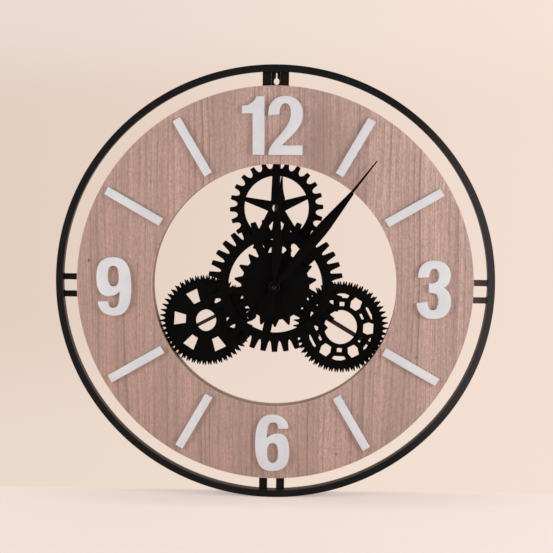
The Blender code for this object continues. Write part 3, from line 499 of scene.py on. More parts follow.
def veneer(name):
    """Straight-grained greyed oak: tone bands, growth lines, short pores, a few pin knots and paler front
    edges from wear and painted highlight.
    """
    s = Shader(name)
    x, z = s.axis("X"), s.axis("Z")
    sway = s.noise((6.0, 1.0, 1.8))
    flutter = s.noise((45.0, 1.0, 10.0), shift=(3.1, 0.0, 1.7))
    across = x + (sway - 0.5) * 0.034 + (flutter - 0.5) * 0.0022

    def grain(per_metre, upwards, detail, seed, rough=0.55):
        """Noise in upright streaks: this many to a metre across the grain, and fewer upwards."""
        vector = s.node("ShaderNodeCombineXYZ", None, {0: across * per_metre, 1: seed, 2: z * upwards})
        return s.noise(None, detail, rough, vector=vector)

    def years(per_metre, wander, seed, sharp):
        """Growth lines: late wood that darkens up to a sharp edge, at uneven spacing and strength."""
        count = across * per_metre + (grain(per_metre * 0.25, 0.8, 1.0, seed) - 0.5) * wander
        year = count.math("FLOOR")
        strong = s.node("ShaderNodeTexWhiteNoise", {"noise_dimensions": "1D"}, {"W": year * 0.37 + seed})
        fade = grain(per_metre * 0.6, 6.0, 1.0, seed + 3.0).between(0.30, 0.62, 0.25, 1.0)
        return (count - year) ** sharp * (0.15 + strong * 0.85) * fade

    bands = grain(30.0, 1.3, 2.0, 0.3)
    late = years(118.0, 4.0, 4.6, 3.2)
    late_b = years(265.0, 3.0, 9.3, 2.6)
    fibre = grain(1150.0, 30.0, 3.0, 7.7, 0.65)
    fleck = grain(560.0, 300.0, 2.0, 3.4, 0.6)
    pore = grain(700.0, 95.0, 1.0, 2.2).between(0.58, 0.72) * (0.30 + late * 0.70)
    # Darker towards the lower left and paler towards the upper right: partly the wood's own tone and partly
    # painted sheen and shade.
    side = (0.5 - x * 1.5 - z * 1.2).clipped()
    tone = s.mix(side, (0.800, 0.552, 0.480), (0.655, 0.402, 0.325))
    tone = s.mix(bands.between(0.32, 0.68) * 0.66, tone, (0.420, 0.285, 0.250))
    tone = s.mix((fibre - 0.5) * 1.30 + 0.26, tone, (0.320, 0.205, 0.170))
    tone = s.mix((fleck - 0.5) * 1.80 + 0.22, tone, (0.290, 0.190, 0.162))
    tone = s.mix(late, tone, (0.225, 0.133, 0.108))
    tone = s.mix(late_b * 0.75, tone, (0.240, 0.146, 0.120))
    tone = s.mix(pore * 0.90, tone, (0.150, 0.088, 0.072))
    # A soft darker patch near one o'clock, about 72 mm right of the middle and 180 mm up.
    darker_patch = (((x - 0.072) * 26.0) ** 2.0 + ((z - 0.180) * 15.0) ** 2.0).between(0.1, 1.6, 0.42, 0.0)
    tone = s.mix(darker_patch, tone, (0.270, 0.165, 0.138))
    knots = None
    for kx, kz, size in KNOTS:
        away = ((x - kx * 0.001) ** 2.0 + ((z - kz * 0.001) * 0.7) ** 2.0) ** 0.5
        dot = away.between(size * 0.0004, size * 0.001, 1.0, 0.0)
        knots = dot if knots is None else knots.math("MAXIMUM", dot)
    tone = s.mix(knots * 0.8, tone, (0.120, 0.066, 0.050))
    # The front edges turn paler: wear, and a painted highlight where they catch the light.
    out = (x * x + z * z) ** 0.5
    worn_and_lit_edges = out.between(0.1677, 0.1684, 1.0, 0.0) + out.between(0.2713, 0.2719)
    tone = s.mix(worn_and_lit_edges * 0.55, tone, (0.640, 0.480, 0.380))
    rough = 0.50 + (fibre - 0.5) * 0.16 + late * 0.10 + pore * 0.12
    height = fibre * 0.5 - late * 0.6 - pore * 0.9
    return s.finish(Base_Color=tone, Roughness=rough.clipped(), Normal=s.bump(height, 0.00010, 0.45))


def raw_board(name, light, dark):
    """Pressed wood fibre, as seen on the board's cut edge and back."""
    s = Shader(name)
    flecks = s.noise(900.0, 3.0, 0.65)
    blotch = s.noise(60.0, 3.0, 0.6)
    layers = s.noise((60.0, 2600.0, 60.0))
    share = (flecks * 0.45 + blotch * 0.35 + layers * 0.30 - 0.05).between(0.25, 0.80)
    rough = 0.62 + (flecks - 0.5) * 0.2
    normal = s.bump(flecks, 0.00008, 0.5)
    return s.finish(Base_Color=s.mix(share, light, dark), Roughness=rough, Normal=normal)


def white_acrylic(name):
    """Cold white moulded acrylic with a faint satin texture and a little handling haze."""
    s = Shader(name)
    haze = s.noise(22.0, 3.0, 0.6)
    satin = s.noise(1300.0)
    shade = s.mix(haze.between(0.3, 0.7), (0.720, 0.722, 0.745), (0.660, 0.660, 0.684))
    rough = 0.36 + (haze - 0.5) * 0.16 + (satin - 0.5) * 0.06
    return s.finish(Base_Color=shade, Roughness=rough, Normal=s.bump(satin, 0.00002, 0.35))


def brushed(name, light, dark, shine):
    """Bright metal with fine draw lines and slight tarnish."""
    s = Shader(name)
    lines = s.noise((60.0, 60.0, 2400.0), rough=0.6)
    tarnish = s.noise(220.0, 4.0, 0.65)
    shade = s.mix(tarnish.between(0.35, 0.75), light, dark)
    rough = shine + (lines - 0.5) * 0.16 + tarnish.between(0.4, 0.8) * 0.12
    normal = s.bump(lines, 0.00002, 0.4)
    return s.finish(Base_Color=shade, Metallic=1.0, Roughness=rough.clipped(), Normal=normal)


def moulded(name, colour, shine):
    """Fine-grained moulded plastic."""
    s = Shader(name)
    grain = s.noise(1500.0)
    flow = s.noise((35.0, 35.0, 80.0), 3.0, 0.55)
    shade = s.mix(flow.between(0.3, 0.7), colour, tuple(c * 1.35 for c in colour))
    rough = shine + (flow - 0.5) * 0.12 + (grain - 0.5) * 0.10
    return s.finish(Base_Color=shade, Roughness=rough, Normal=s.bump(grain, 0.00003, 0.5))


def wound_wire(name):
    """Enamelled copper wire in close turns round an upright bobbin."""
    s = Shader(name)
    turns = abs((s.axis("Z") * 4200.0).math("FRACT") * 2.0 - 1.0)
    # Darker between the turns: painted shade in the grooves between the wires.
    shade = s.mix(turns, (0.42, 0.16, 0.07), (0.14, 0.045, 0.02))
    rough = 0.30 + turns * 0.15
    normal = s.bump(1.0 - turns, 0.00008, 0.7)
    return s.finish(Base_Color=shade, Metallic=0.85, Roughness=rough, Normal=normal)


def board_lacquer(name):
    """Green circuit lacquer over faint copper tracks."""
    s = Shader(name)
    x, z = s.axis("X"), s.axis("Z")
    lane = (x * 700.0).math("FRACT") - 0.5
    track = abs(lane).between(0.10, 0.16, 1.0, 0.0) * ((z * 160.0).math("SINE") > -0.2)
    shade = s.mix(track, (0.016, 0.105, 0.040), (0.040, 0.200, 0.080))
    return s.finish(Base_Color=shade, Roughness=0.34 - track * 0.08, Normal=s.bump(track, 0.00003, 0.6))


def cell_wrap(name):
    """A plain printed sleeve: dark grey with one lighter band at the raised end."""
    s = Shader(name)
    band = s.axis("X").between(0.0128, 0.0132)
    scuff = s.noise((90.0, 400.0, 400.0), 3.0, 0.6).between(0.55, 0.75)
    shade = s.mix(band, (0.030, 0.034, 0.040), (0.42, 0.43, 0.44))
    shade = s.mix(scuff * 0.25, shade, (0.20, 0.20, 0.20))
    return s.finish(Base_Color=shade, Metallic=band * 0.6, Roughness=0.30 + scuff * 0.2)


def outer_ring(black, wall):
    """A rolled angle swept round: a rail in front, and a thin flange behind it that lies on the wall."""
    inner, outer, back, front = RING
    thin = outer - FLANGE
    corners = [(inner, RING_STEP), (inner, front), (outer, front)]
    corners += [(outer, back), (thin, back), (thin, RING_STEP)]
    section = softened(corners, (0.5, 0.9, 1.0, 0.4, 0.4, 0.5), 4)
    last, first = 4, 5
    rail = Piece("outer_ring_rail")
    rail.lathe(np.roll(section, -first, 0), 384, wrap=False)
    # The inner wall takes the second finish, a painted reflection that browns it towards the rear.
    rail.lathe(section[last:first + 1], 384, wrap=False, finish=1)
    rail.points = [part * (1.0, OVAL, 1.0) for part in rail.points]
    rail.join("outer_ring", black, wall)


def rear_hoop(wood):
    """A flat ring of board behind the bars."""
    inner, outer, back, front = HOOP
    section = softened(oblong(inner, outer, back, front), 0.35, 3)
    Piece("rear_board_ring").lathe(section, 320, (HOOP_X, 0.0)).join("rear_hoop", wood, slot="veneer")


def dial_board(face, edge, rear):
    """The veneered ring: face and softened edge in veneer, cut walls and back in raw board, the walls
    darkened as painted shade.
    """
    inner, outer, back, front = BOARD
    ease = 0.4
    inner_edge = arc((inner + ease, front - ease), ease, ease, -90.0, 0.0, 3)
    outer_edge = arc((outer - ease, front - ease), ease, ease, 0.0, 90.0, 3)
    middle = [(radius, front) for radius in np.linspace(inner + ease, outer - ease, 9)[1:-1]]
    piece = Piece("dial_board")
    piece.lathe(np.concatenate([inner_edge, middle, outer_edge]), 384, wrap=False)
    piece.lathe([(inner, front - ease), (inner, back)], 384, wrap=False, finish=1)
    piece.lathe([(outer, back), (outer, front - ease)], 384, wrap=False, finish=1)
    piece.lathe([(inner, back), (outer, back)], 384, wrap=False, finish=2)
    piece.join("wood_ring", face, edge, rear, slot="veneer")


def bar(name, section, start, end, turn, shift, black):
    """A rolled section carried straight out along a clock angle, with a run of weld at the ring."""
    section = softened(section, 0.45, 3)
    outs = np.array([[start], [start + 0.3], [end - 0.3], [end]])
    pull = np.array([0.05, 0.0, 0.0, 0.0])[:, None, None]
    rings = section + (section.mean(0) - section) * pull
    points = raised(along(turn, rings[..., 0], outs) + shift, rings[..., 1])
    piece = Piece("bar_rail_" + name).grid(points, wrap_v=True).end(points[0]).end(points[-1])
    weld_beads(piece, section, end, turn, shift)
    piece.join("bar_" + name, black)


def weld_beads(piece, section, end, turn, shift):
    """Overlapping drops of weld along a bar's end: a tube of radius r (1 + 0.16 cos), closed at both ends."""
    low, high = section.min(0), section.max(0)
    u = np.linspace(0.0, 1.0, 41)[:, None]
    a = np.linspace(0.0, 2 * math.pi, 10, endpoint=False)
    height = low[1] + 0.5 + (high[1] - low[1] - 1.0) * u
    closed = np.sqrt(np.maximum(1 - (2 * u - 1) ** 6, 0.0))
    radius = 0.85 * closed * (1 + 0.16 * np.cos(u * 2 * math.pi * 5))
    for side in (low[0], high[0]):
        across = side + radius * np.cos(a)
        out = end - 0.35 + radius * np.sin(a)
        piece.grid(raised(along(turn, across, out) + shift, height), wrap_v=True)


def bar_end(across):
    """How far out a bar at this offset runs before it meets the ring's inner wall."""
    return math.sqrt((RING[0] + 0.2) ** 2 - across * across)


def bars(black):
    """Two bars above and two below, each with a lower lip, and two plain ones at each side."""
    back, front = BAR_H
    lip_width, lip_drop = 3.8, 2.3
    upright_start, side_start = 171.8, 173.8
    for name, turn, side, lip in UPRIGHTS:
        middle = side * BAR_OFFSET
        plain, far = middle - lip * UPRIGHT_HALF, middle + lip * UPRIGHT_HALF
        fold = far - lip * lip_width
        step = front - lip_drop
        section = [(plain, back), (plain, front), (fold, front), (fold, step), (far, step), (far, back)]
        end = bar_end(BAR_OFFSET + UPRIGHT_HALF)
        shift = (TOP_BAR_X, 0.0) if turn == 0 else (0.0, 0.0)
        bar(name, section, upright_start, end, turn + FRAME_TURN, shift, black)
    sides = (("right_upper", 90, -1), ("right_lower", 90, 1), ("left_lower", 270, -1), ("left_upper", 270, 1))
    for name, turn, side in sides:
        middle = side * BAR_OFFSET
        section = oblong(middle - SIDE_HALF, middle + SIDE_HALF, back, front)
        drop = SIDE_DROP if turn == 90 else -SIDE_DROP
        end = bar_end(abs(middle + drop) + SIDE_HALF)
        bar(name, section, side_start, end, turn + FRAME_TURN, (0.0, -SIDE_DROP), black)


def screws(zinc):
    """Pan-head screws with a cross recess, seen on the back."""
    arm, half = 1.75, 0.38
    cross = np.concatenate([turned([(-half, arm), (half, arm), (half, half)], 90.0 * k) for k in range(4)])
    seat, out, aside = 13.95, 225.0, 1.9
    for name, turn, side, lip in UPRIGHTS:
        centre = along(turn + FRAME_TURN, side * BAR_OFFSET - lip * aside, out)
        piece = Piece("screw_" + name)
        piece.lathe([(0.0, seat), (3.2, seat), (3.2, seat - 0.45), (2.9, seat - 0.8)], 36, centre, False)
        piece.plate(ring_of(2.9, 36, centre), [turned(cross, 20.0) + centre], seat - 1.35, seat - 0.8, 0.18)
        piece.lathe([(0.0, seat - 0.8), (2.9, seat - 0.8)], 36, centre, False)
        piece.lathe([(0.0, seat + 8.0), (1.2, seat + 6.8), (1.45, seat), (0.0, seat)], 24, centre, False)
        piece.join("wood_screw_" + name, zinc, slot="bright_steel")


def hanger(black):
    """The keyhole plate between the top bars."""
    corners = softened(oblong(-7.3, 5.1, 265.5, 291.0), 0.3)
    slot_half, head_half, head_rise = 0.85, 3.7, 4.5
    gap = math.degrees(math.asin(slot_half / head_half))
    head = arc((0.0, 277.1), head_half, head_rise, gap, 360.0 - gap, 48)
    slot = arc((0.0, 287.6), slot_half, slot_half, -90.0, 90.0, 20)
    outline = turned(corners, FRAME_TURN) + (PLATE_X, 0.0)
    hole = turned(np.concatenate([head, slot]), FRAME_TURN) + (PLATE_X, 0.0)
    Piece("keyhole_plate").plate(outline, [hole], *PLATE_H, 0.15).join("hanger_plate", black)


def hour_marks(white):
    """A raised bar along each of eight clock angles."""
    half, long = MARK_HALF
    for hour in (1, 2, 4, 5, 7, 8, 10, 11):
        corners = oblong(-half, half, MARK_R - long, MARK_R + long)
        outline = turned(softened(corners, 0.5), 30.0 * hour) + (DIAL_X, 0.0)
        piece = Piece("hour_bar_%02d" % hour).plate(outline, [], *MARK_H, 0.4, 3)
        piece.join("hour_mark_%02d" % hour, white, slot="white_acrylic")


def figure_one():
    """A straight stem with a flag that curves away from its top."""
    flag = bend((4.4, 38.7), (1.0, 30.0), (-6.0, 26.3), (-14.9, 26.1), 18)
    start = [(14.9, -39.1), (14.9, 38.7), (4.4, 38.7)]
    return np.concatenate([start, flag, [(-14.9, 15.9), (-0.6, 15.9), (-0.6, -39.1)]])


def figure_two():
    """A round top, a curve down into the foot, and the same two inside."""
    top = arc((0.0, 15.0), 23.0, 24.2, -93.0, 90.0, 54, 2.2)
    down = bend((23.0, 15.0), (23.0, -4.0), (6.0, -14.0), (-4.7, -26.4), 27)
    back = bend((-22.8, -39.1), (-22.4, -20.0), (7.4, -6.0), (7.4, 16.0), 30)
    inner = arc((-0.4, 16.0), 7.8, 13.4, 90.0, -94.0, 36, 2.3)
    foot = [(23.0, -26.4), (23.0, -39.1), (-22.8, -39.1)]
    return np.concatenate([top, down, foot, back[:-1], inner])


def figure_three():
    """Two round bowls that meet at the waist, and the same two inside with a bar's step between them."""
    top = arc((0.0, 18.5), 21.8, 21.8, -94.0, 88.0, 48, 2.25)
    upper = bend((21.6, 19.0), (21.6, 11.0), (18.0, 5.0), (12.3, 3.1), 12)
    lower = bend((12.3, 3.1), (19.0, 0.5), (23.2, -8.0), (23.2, -16.5), 15)
    bottom = arc((0.0, -17.0), 23.2, 23.3, 90.0, 267.0, 48, 2.25)
    low_inner = arc((-1.2, -15.8), 7.5, 12.5, 268.0, 90.0, 30, 2.3)
    middle_low = bend((6.3, -15.8), (6.3, -6.0), (2.0, -3.8), (-7.2, -3.8), 15)
    middle_high = bend((-7.2, 8.8), (2.0, 8.8), (6.2, 11.0), (6.2, 18.5), 15)
    high_inner = arc((-0.5, 18.5), 6.7, 10.5, 90.0, -95.0, 30, 2.3)
    inside = [low_inner, middle_low, [(-7.2, 8.8)], middle_high[:-1], high_inner]
    return np.concatenate([top, upper, lower[:-1], bottom, *inside])


def figure_six():
    """Outline and counter of a six; a nine is the same figure upside down."""
    top = arc((0.0, 19.0), 22.6, 21.7, 86.0, 0.0, 24, 2.2)
    left = bend((0.0, 40.7), (-15.0, 40.7), (-23.8, 30.0), (-23.8, 0.0), 27)
    side = bend((-23.8, 0.0), (-23.8, -30.0), (-16.0, -40.7), (0.0, -40.7), 27)
    right = bend((0.0, -40.7), (16.0, -40.7), (23.8, -32.0), (23.8, -13.0), 24)
    shoulder = bend((23.8, -13.0), (23.8, 6.0), (18.0, 13.6), (7.2, 13.6), 24)
    notch = bend((7.2, 13.6), (2.0, 13.6), (-4.0, 11.0), (-7.8, 7.0), 9)
    inner = bend((-7.8, 7.0), (-7.4, 23.0), (-6.0, 29.5), (1.2, 29.5), 21)
    close = bend((1.2, 29.5), (6.6, 29.5), (8.2, 27.0), (8.4, 20.5), 15)
    outline = np.concatenate([top, left, side, right, shoulder, notch, inner, close])
    return outline, arc((0.6, -14.5), 7.8, 14.3, 0.0, 355.0, 71, 2.5)


def numerals(white):
    """The figures, each moved across and up from its clock place by what the photograph shows."""
    six, counter = figure_six()
    nine, nine_counter = turned(six, 180.0), turned(counter, 180.0)
    figures = (
        ("numeral_12_one", "twelve_one", figure_one(), [], 0.0, -27.7, -0.5),
        ("numeral_12_two", "twelve_two", figure_two(), [], 0.0, 15.5, -0.5),
        ("numeral_3", "three", figure_three(), [], 90.0, -0.1, -1.8),
        ("numeral_6", "six", six, [counter], 180.0, -0.2, -0.5),
        ("numeral_9", "nine", nine, [nine_counter], 270.0, 0.7, -0.8),
    )
    for node, name, outline, holes, angle, across, rise in figures:
        place = clock(angle, MARK_R) + (DIAL_X + across, rise)
        holes = [hole + place for hole in holes]
        piece = Piece("figure_" + name).plate(outline + place, holes, *MARK_H, 0.4, 3)
        piece.join(node, white, slot="white_acrylic", sharp=34.0)


def teeth(count, root, tip, flank, phase, centre, ease):
    """A toothed outline: a root point, a flank and its mirror image, repeated round the centre."""
    shape = np.array([(-0.5, 0.0), *mirrored(*flank)])
    angle = phase + 360.0 / count * (np.arange(count)[:, None] + shape[:, 0])
    radius = root + (tip - root) * shape[:, 1]
    return softened(clock(angle, radius, centre).reshape(-1, 2), ease)


def top_gear(black):
    """Five windows between star spokes. The last ends early and sits left, so the top spoke is wider."""
    centre = clock(*TOP_PLACE)
    first, rim_turn, valley_turns = 1.5, 64.6, np.array([36.9, 30.1])
    windows = []
    for k in range(5):
        start = 72.0 * k + first
        less, aside = (1.2, -0.5) if k == 4 else (0.0, 0.0)
        rim = arc(centre, STAR_RIM, STAR_RIM, start, start + rim_turn - less, 40)
        valley = clock(start + valley_turns, STAR_VALLEY, centre)
        windows.append(softened_ends(rim, valley) + [aside, 0.0])
    outline = teeth(24, TOP_TIP - BLUNT_TOOTH, TOP_TIP, BLUNT, -1.85, centre, 0.5)
    outline, windows = thickened(outline, windows, grow=0.26)
    holes = windows + [ring_of(5.6, 40, centre)]
    Piece("star_gear").plate(outline, holes, *GEAR_H, 0.22).join("top_gear", black)


def softened_ends(curve, corners):
    """A fine curve closed by a few corner points, which are rounded while the curve is left as it is."""
    radius = np.repeat([0.02, 1.2], [len(curve), len(corners)])
    return softened(np.concatenate([curve, corners]), radius)


def stacked_plates(name, node, place, tip, phase, windows, black):
    """Two thin plates with the same teeth, set apart sideways. A window is a turn and its upright outline."""
    back, front = GEAR_H
    for way, floor, label in ((1, front - FINE_PLATE, name), (-1, back, "rear_" + name)):
        centre = clock(*place) + [way * FINE_SHIFT, 0.0]
        holes = [softened(turned(points, angle) + centre, 0.7) for angle, points in windows]
        outline = teeth(50, tip - FINE_TOOTH, tip, FINE, phase, centre, 0.2)
        outline = thickened(outline, [], grow=0.32)[0]
        piece = Piece(label).plate(outline, holes, floor, floor + FINE_PLATE, 0.15)
        piece.join(node if way > 0 else node + "_backing", black)


def right_gear(black):
    """A round hole, and six times round it a six-sided window and a spoke with a square and a slot."""
    six_sided = mirrored((5.7, 29.5), (9.1, 37.2), (6.6, 46.5))
    square = mirrored((4.9, 29.5), (4.9, 35.2))
    slot = mirrored((8.6, 41.0), (11.3, 44.6), (5.2, 47.0))
    windows = [(0.0, ring_of(24.0, 96))]
    for k in range(6):
        side = 60.0 * k + 2.5
        windows += [(30.0 + side, six_sided), (side, square), (side, slot)]
    stacked_plates("fretted_gear", "right_gear", RIGHT_PLACE, RIGHT_TIP, 4.84, windows, black)


def left_gear(black):
    """A round hole and six windows that widen outwards."""
    window = mirrored((5.8, 26.7), (9.9, 45.7))
    windows = [(0.0, ring_of(15.4, 72))] + [(33.7 + 60.0 * k, window) for k in range(6)]
    stacked_plates("windowed_gear", "left_gear", LEFT_PLACE, LEFT_TIP, 2.67, windows, black)


def centre_gears(black):
    """The solid gear and the open one, whose windows end where a line beside each spoke meets hub and rim."""
    centre = np.array(CENTRE)
    hub, rim = LARGE_WINDOW
    windows = []
    for k, edges in enumerate(SPOKE_EDGES):
        out_a, out_b = np.degrees(np.arcsin(np.array(edges) / rim))
        in_a, in_b = np.degrees(np.arcsin(np.array(edges) / hub))
        first, last = 48.0 + 72.0 * k, 120.0 + 72.0 * k
        outer = arc(centre, rim, rim, first + out_a, last - out_b, 44)
        inner = arc(centre, hub, hub, last - in_b, first + in_a, 28)
        windows.append(np.concatenate([outer, inner]))
    bore = ring_of(SHAFT_BORE, 40)
    outline = teeth(36, *LARGE_GEAR, LONG, 0.45, centre, 0.5)
    outline, windows = thickened(outline, windows, grow=0.22, widen=0.65)
    piece = Piece("big_centre_gear").plate(outline, windows + [bore], *LARGE_GEAR_H, 0.22)
    piece.join("centre_gear_large", black)
    outline = teeth(18, *SMALL_GEAR, SHARP, 0.3, centre, 0.4)
    outline = thickened(outline, [], grow=0.15)[0]
    Piece("solid_centre_gear").plate(outline, [bore], *SMALL_GEAR_H, 0.22).join("centre_gear_small", black)


def struts(black):
    """Flat stays from the movement out to the board ring, each with a round spacer at its inner end."""
    end, spacer_in = 171.5, 3.8
    for side, turn, half in STRUTS:
        s, c = abs(math.sin(math.radians(turn))), abs(math.cos(math.radians(turn)))
        start = (CASE_HALF + 0.3 + 2.4 * min(s, c)) / max(s, c)
        outline = turned(softened(oblong(-half, half, start, end), 0.5), turn)
        Piece("stay_" + side).plate(outline, [], *STRUT_H, 0.5, steps=4).join("strut_" + side, black)
        section = softened(oblong(0.05, 3.2, 16.3, 18.9), (0.02, 0.3, 0.3, 0.02), 2)
        centre = clock(turn, start + spacer_in)
        Piece("stand_off_" + side).lathe(section, 40, centre).join("hub_spacer_" + side, black)


def rounded_box(half_x, half_z, corner, steps=8):
    """A rectangle about the middle whose corners are quarter circles."""
    parts = []
    for sx, sz, start in ((1, 1, 0.0), (1, -1, 90.0), (-1, -1, 180.0), (-1, 1, 270.0)):
        centre = (sx * (half_x - corner), sz * (half_z - corner))
        parts.append(arc(centre, corner, corner, start, start + 90.0, steps))
    return np.concatenate(parts)


def movement(plastic, dark_plastic, steel, wrap):
    """The box with its ribs and clips, its back cover, and the cell in its open bay."""
    radius, half, height, low = CELL
    wall, walls_h, face_h, cover_h, lip_h = 1.5, (4.9, 17.7), (17.55, 18.7), (3.3, 4.6), (2.9, 3.5)
    box = rounded_box(CASE_HALF, CASE_HALF, 4.0)
    room = rounded_box(CASE_HALF - wall, CASE_HALF - wall, 2.8)
    piece = Piece("movement_box").plate(box, [room], *walls_h, 0.3)
    piece.plate(box, [ring_of(4.3, 40)], *face_h, 0.4)
    for k in range(4):
        for across in (-14.0, 14.0):
            rib = turned(rounded_box(0.6, 0.35, 0.2, 2) + [across, CASE_HALF - 0.2], 90.0 * k)
            piece.plate(rib, [], 6.2, 16.5, 0.15)
    piece.join("movement_case", plastic, slot="movement_plastic")
    door, frame, opening = (
        rounded_box(half + more, radius + rise, corner, 4) + [0.0, low]
        for more, rise, corner in ((0.8, -0.6, 1.0), (1.9, 0.5, 1.4), (0.9, -0.5, 1.0))
    )
    knob_hole, collar, bore = (ring_of(r, 48, (0.0, KNOB_Z)) for r in (5.6, 7.4, 5.8))
    piece = Piece("movement_back").plate(box, [door, knob_hole], *cover_h, 0.3)
    piece.plate(collar, [bore], *lip_h, 0.15).plate(frame, [opening], *lip_h, 0.15)
    for x in (-16.0, 16.0):
        piece.plate(rounded_box(4.0, 1.6, 0.8, 3) + [x, 22.6], [], 2.95, 3.5, 0.2)
    piece.join("movement_cover", dark_plastic, slot="movement_plastic")

    slim = radius - 0.12
    cell = [(0.0, -half), (4.6, -half), (radius - 0.6, -half + 0.1), (radius, -half + 0.7)]
    cell += [(radius, -half + 1.4)]
    sleeve = [(radius, -half + 1.4), (slim, -half + 1.5), (slim, half - 2.6), (radius, half - 2.5)]
    nose = [(radius, half - 2.5), (radius - 0.2, half - 1.9), (radius - 0.9, half - 1.3), (2.9, half - 1.2)]
    nose += [(2.7, half - 1.0), (2.7, half - 0.3), (2.4, half), (0.0, half)]
    piece = Piece("pen_light_cell")
    piece.lathe(cell, 64, wrap=False, finish=1).lathe(sleeve, 64, wrap=False)
    piece.lathe(nose, 64, wrap=False, finish=1)
    # The cell lies down in its bay, with its own axis running sideways.
    piece.points = [np.stack([p[:, 2], p[:, 1] + low, height - p[:, 0]], 1) for p in piece.points]
    piece.join("battery", wrap, steel, slot="battery_wrap")


def setting_knob(plastic):
    """A knurled knob: its radius falls by 0.4 |sin 15a|^1.5 round its side and not at its cap."""
    radius = np.array([0.0, 2.6, 3.9, 4.6, 4.95, 5.0, 5.0, 0.0])
    heights = np.array([1.2, 1.2, 1.3, 1.7, 2.3, 3.2, 4.6, 4.6])
    bite = np.array([0.0, 0.0, 0.1, 0.6, 1.0, 1.0, 1.0, 0.0])
    a = around(240)
    radius = radius - 0.4 * bite * np.abs(np.sin(np.radians(a) * 15.0)) ** 1.5
    piece = Piece("thumb_knob").grid(raised(clock(a, radius, (0.0, KNOB_Z)), heights), wrap_u=True)
    piece.join("setting_knob", plastic, body="setting", slot="movement_plastic", sharp=40.0)


def centre_hardware(cap_black, nut_black, brass):
    """A bush whose radius zigzags once in each pitch of thread, a washer, a nut and the cap.

    The nut's radius is the smaller of a hexagon's, 5.4 / cos a from each flat, and its chamfered section's.
    """
    a = around(60)
    pitch, core, crest, flange, end = 0.5, 3.66, 4.0, 17.4, 27.1
    h = np.linspace(flange, end, 78)
    wave = np.abs(((h / pitch - a / 360.0) % 1.0) * 2.0 - 1.0)
    ease = np.clip((end - h) / 0.3, 0.0, 1.0)
    piece = Piece("brass_bush").grid(raised(clock(a, core + (crest - core) * wave * ease), h), wrap_u=True)
    collar = [(core, end), (2.8, end), (2.8, 16.2), (6.2, 16.2), (6.2, flange), (crest, flange)]
    piece.lathe(collar, 60, wrap=False).join("threaded_bush", brass, slot="brass")
    section = softened(oblong(4.3, 7.8, 23.15, 24.05), 0.25, 2)
    Piece("plain_washer").lathe(section, 72).join("washer", nut_black)
    a = around(120)
    hexagon = 5.4 / np.cos(np.radians(a % 60.0 - 30.0))
    cone = np.array([5.45, 5.8, 6.3, 6.3, 6.05, 5.7, 5.35])
    bore = np.array([4.45, 4.05, 4.05, 4.45]) + 0.0 * a
    radius = np.concatenate([np.minimum(hexagon, cone), bore], 1)
    heights = [24.1, 24.3, 24.6, 25.6, 26.2, 26.5, 26.7, 26.7, 26.3, 24.5, 24.1]
    piece = Piece("fixing_nut").grid(raised(clock(a, radius), heights), wrap_u=True, wrap_v=True)
    piece.join("hex_nut", nut_black)
    cap = [(0.0, 33.1), (1.8, 33.1), (1.8, 31.7), (3.4, 31.7)]
    dome = [(3.4, 32.7), (3.3, 33.0), (3.0, 33.4), (2.5, 33.9), (1.7, 34.3), (0.9, 34.52), (0.0, 34.6)]
    Piece("shaft_cap").lathe(cap + dome, 64, wrap=False).join("cap_nut", cap_black, body="minute")


def hand(name, stations, hub_r, bore_r, back, turn, black, node, body, drift=((0.0, 0.0),)):
    """A pressed hand, whose front falls by crease |v| from its middle, v = 0, to its edges, v = -1 and 1.

    The crease fades in from the hub and is shallower where the hand is narrow. Stations are (distance, half
    width), behind the hub below zero, and drift is (distance, offset sideways).
    """
    fade_in, full_half = 12.0, 2.5
    piece = Piece(name)
    stations = np.array(stations)
    v = np.linspace(-1.0, 1.0, 9)
    for way in (1.0, -1.0):
        part = stations[stations[:, 0] * way > 0] * (way, 1.0)
        reach, width = part[np.argsort(part[:, 0])].T
        out = np.unique(np.concatenate([reach, np.linspace(reach[0], reach[-1], 90)]))[:, None]
        half = np.interp(out, reach, width)
        aside = np.interp(out, *np.transpose(drift))
        ridge = CREASE * np.clip((out - hub_r) / fade_in, 0.0, 1.0) * np.clip(half / full_half, 0.15, 1.0)
        top = back + HAND_THICK - ridge * np.abs(v)
        across = aside + half * v
        flat = along(turn, np.concatenate([across, across[:, ::-1]], 1), out * way)
        loop = raised(flat, np.concatenate([top, np.full_like(top, back)], 1))
        piece.grid(loop, wrap_v=True).end(loop[0]).end(loop[-1])
    piece.lathe(softened(oblong(bore_r, hub_r, back, back + HAND_THICK), 0.2, 2), 72)
    piece.join(node, black, body=body, sharp=12.0)


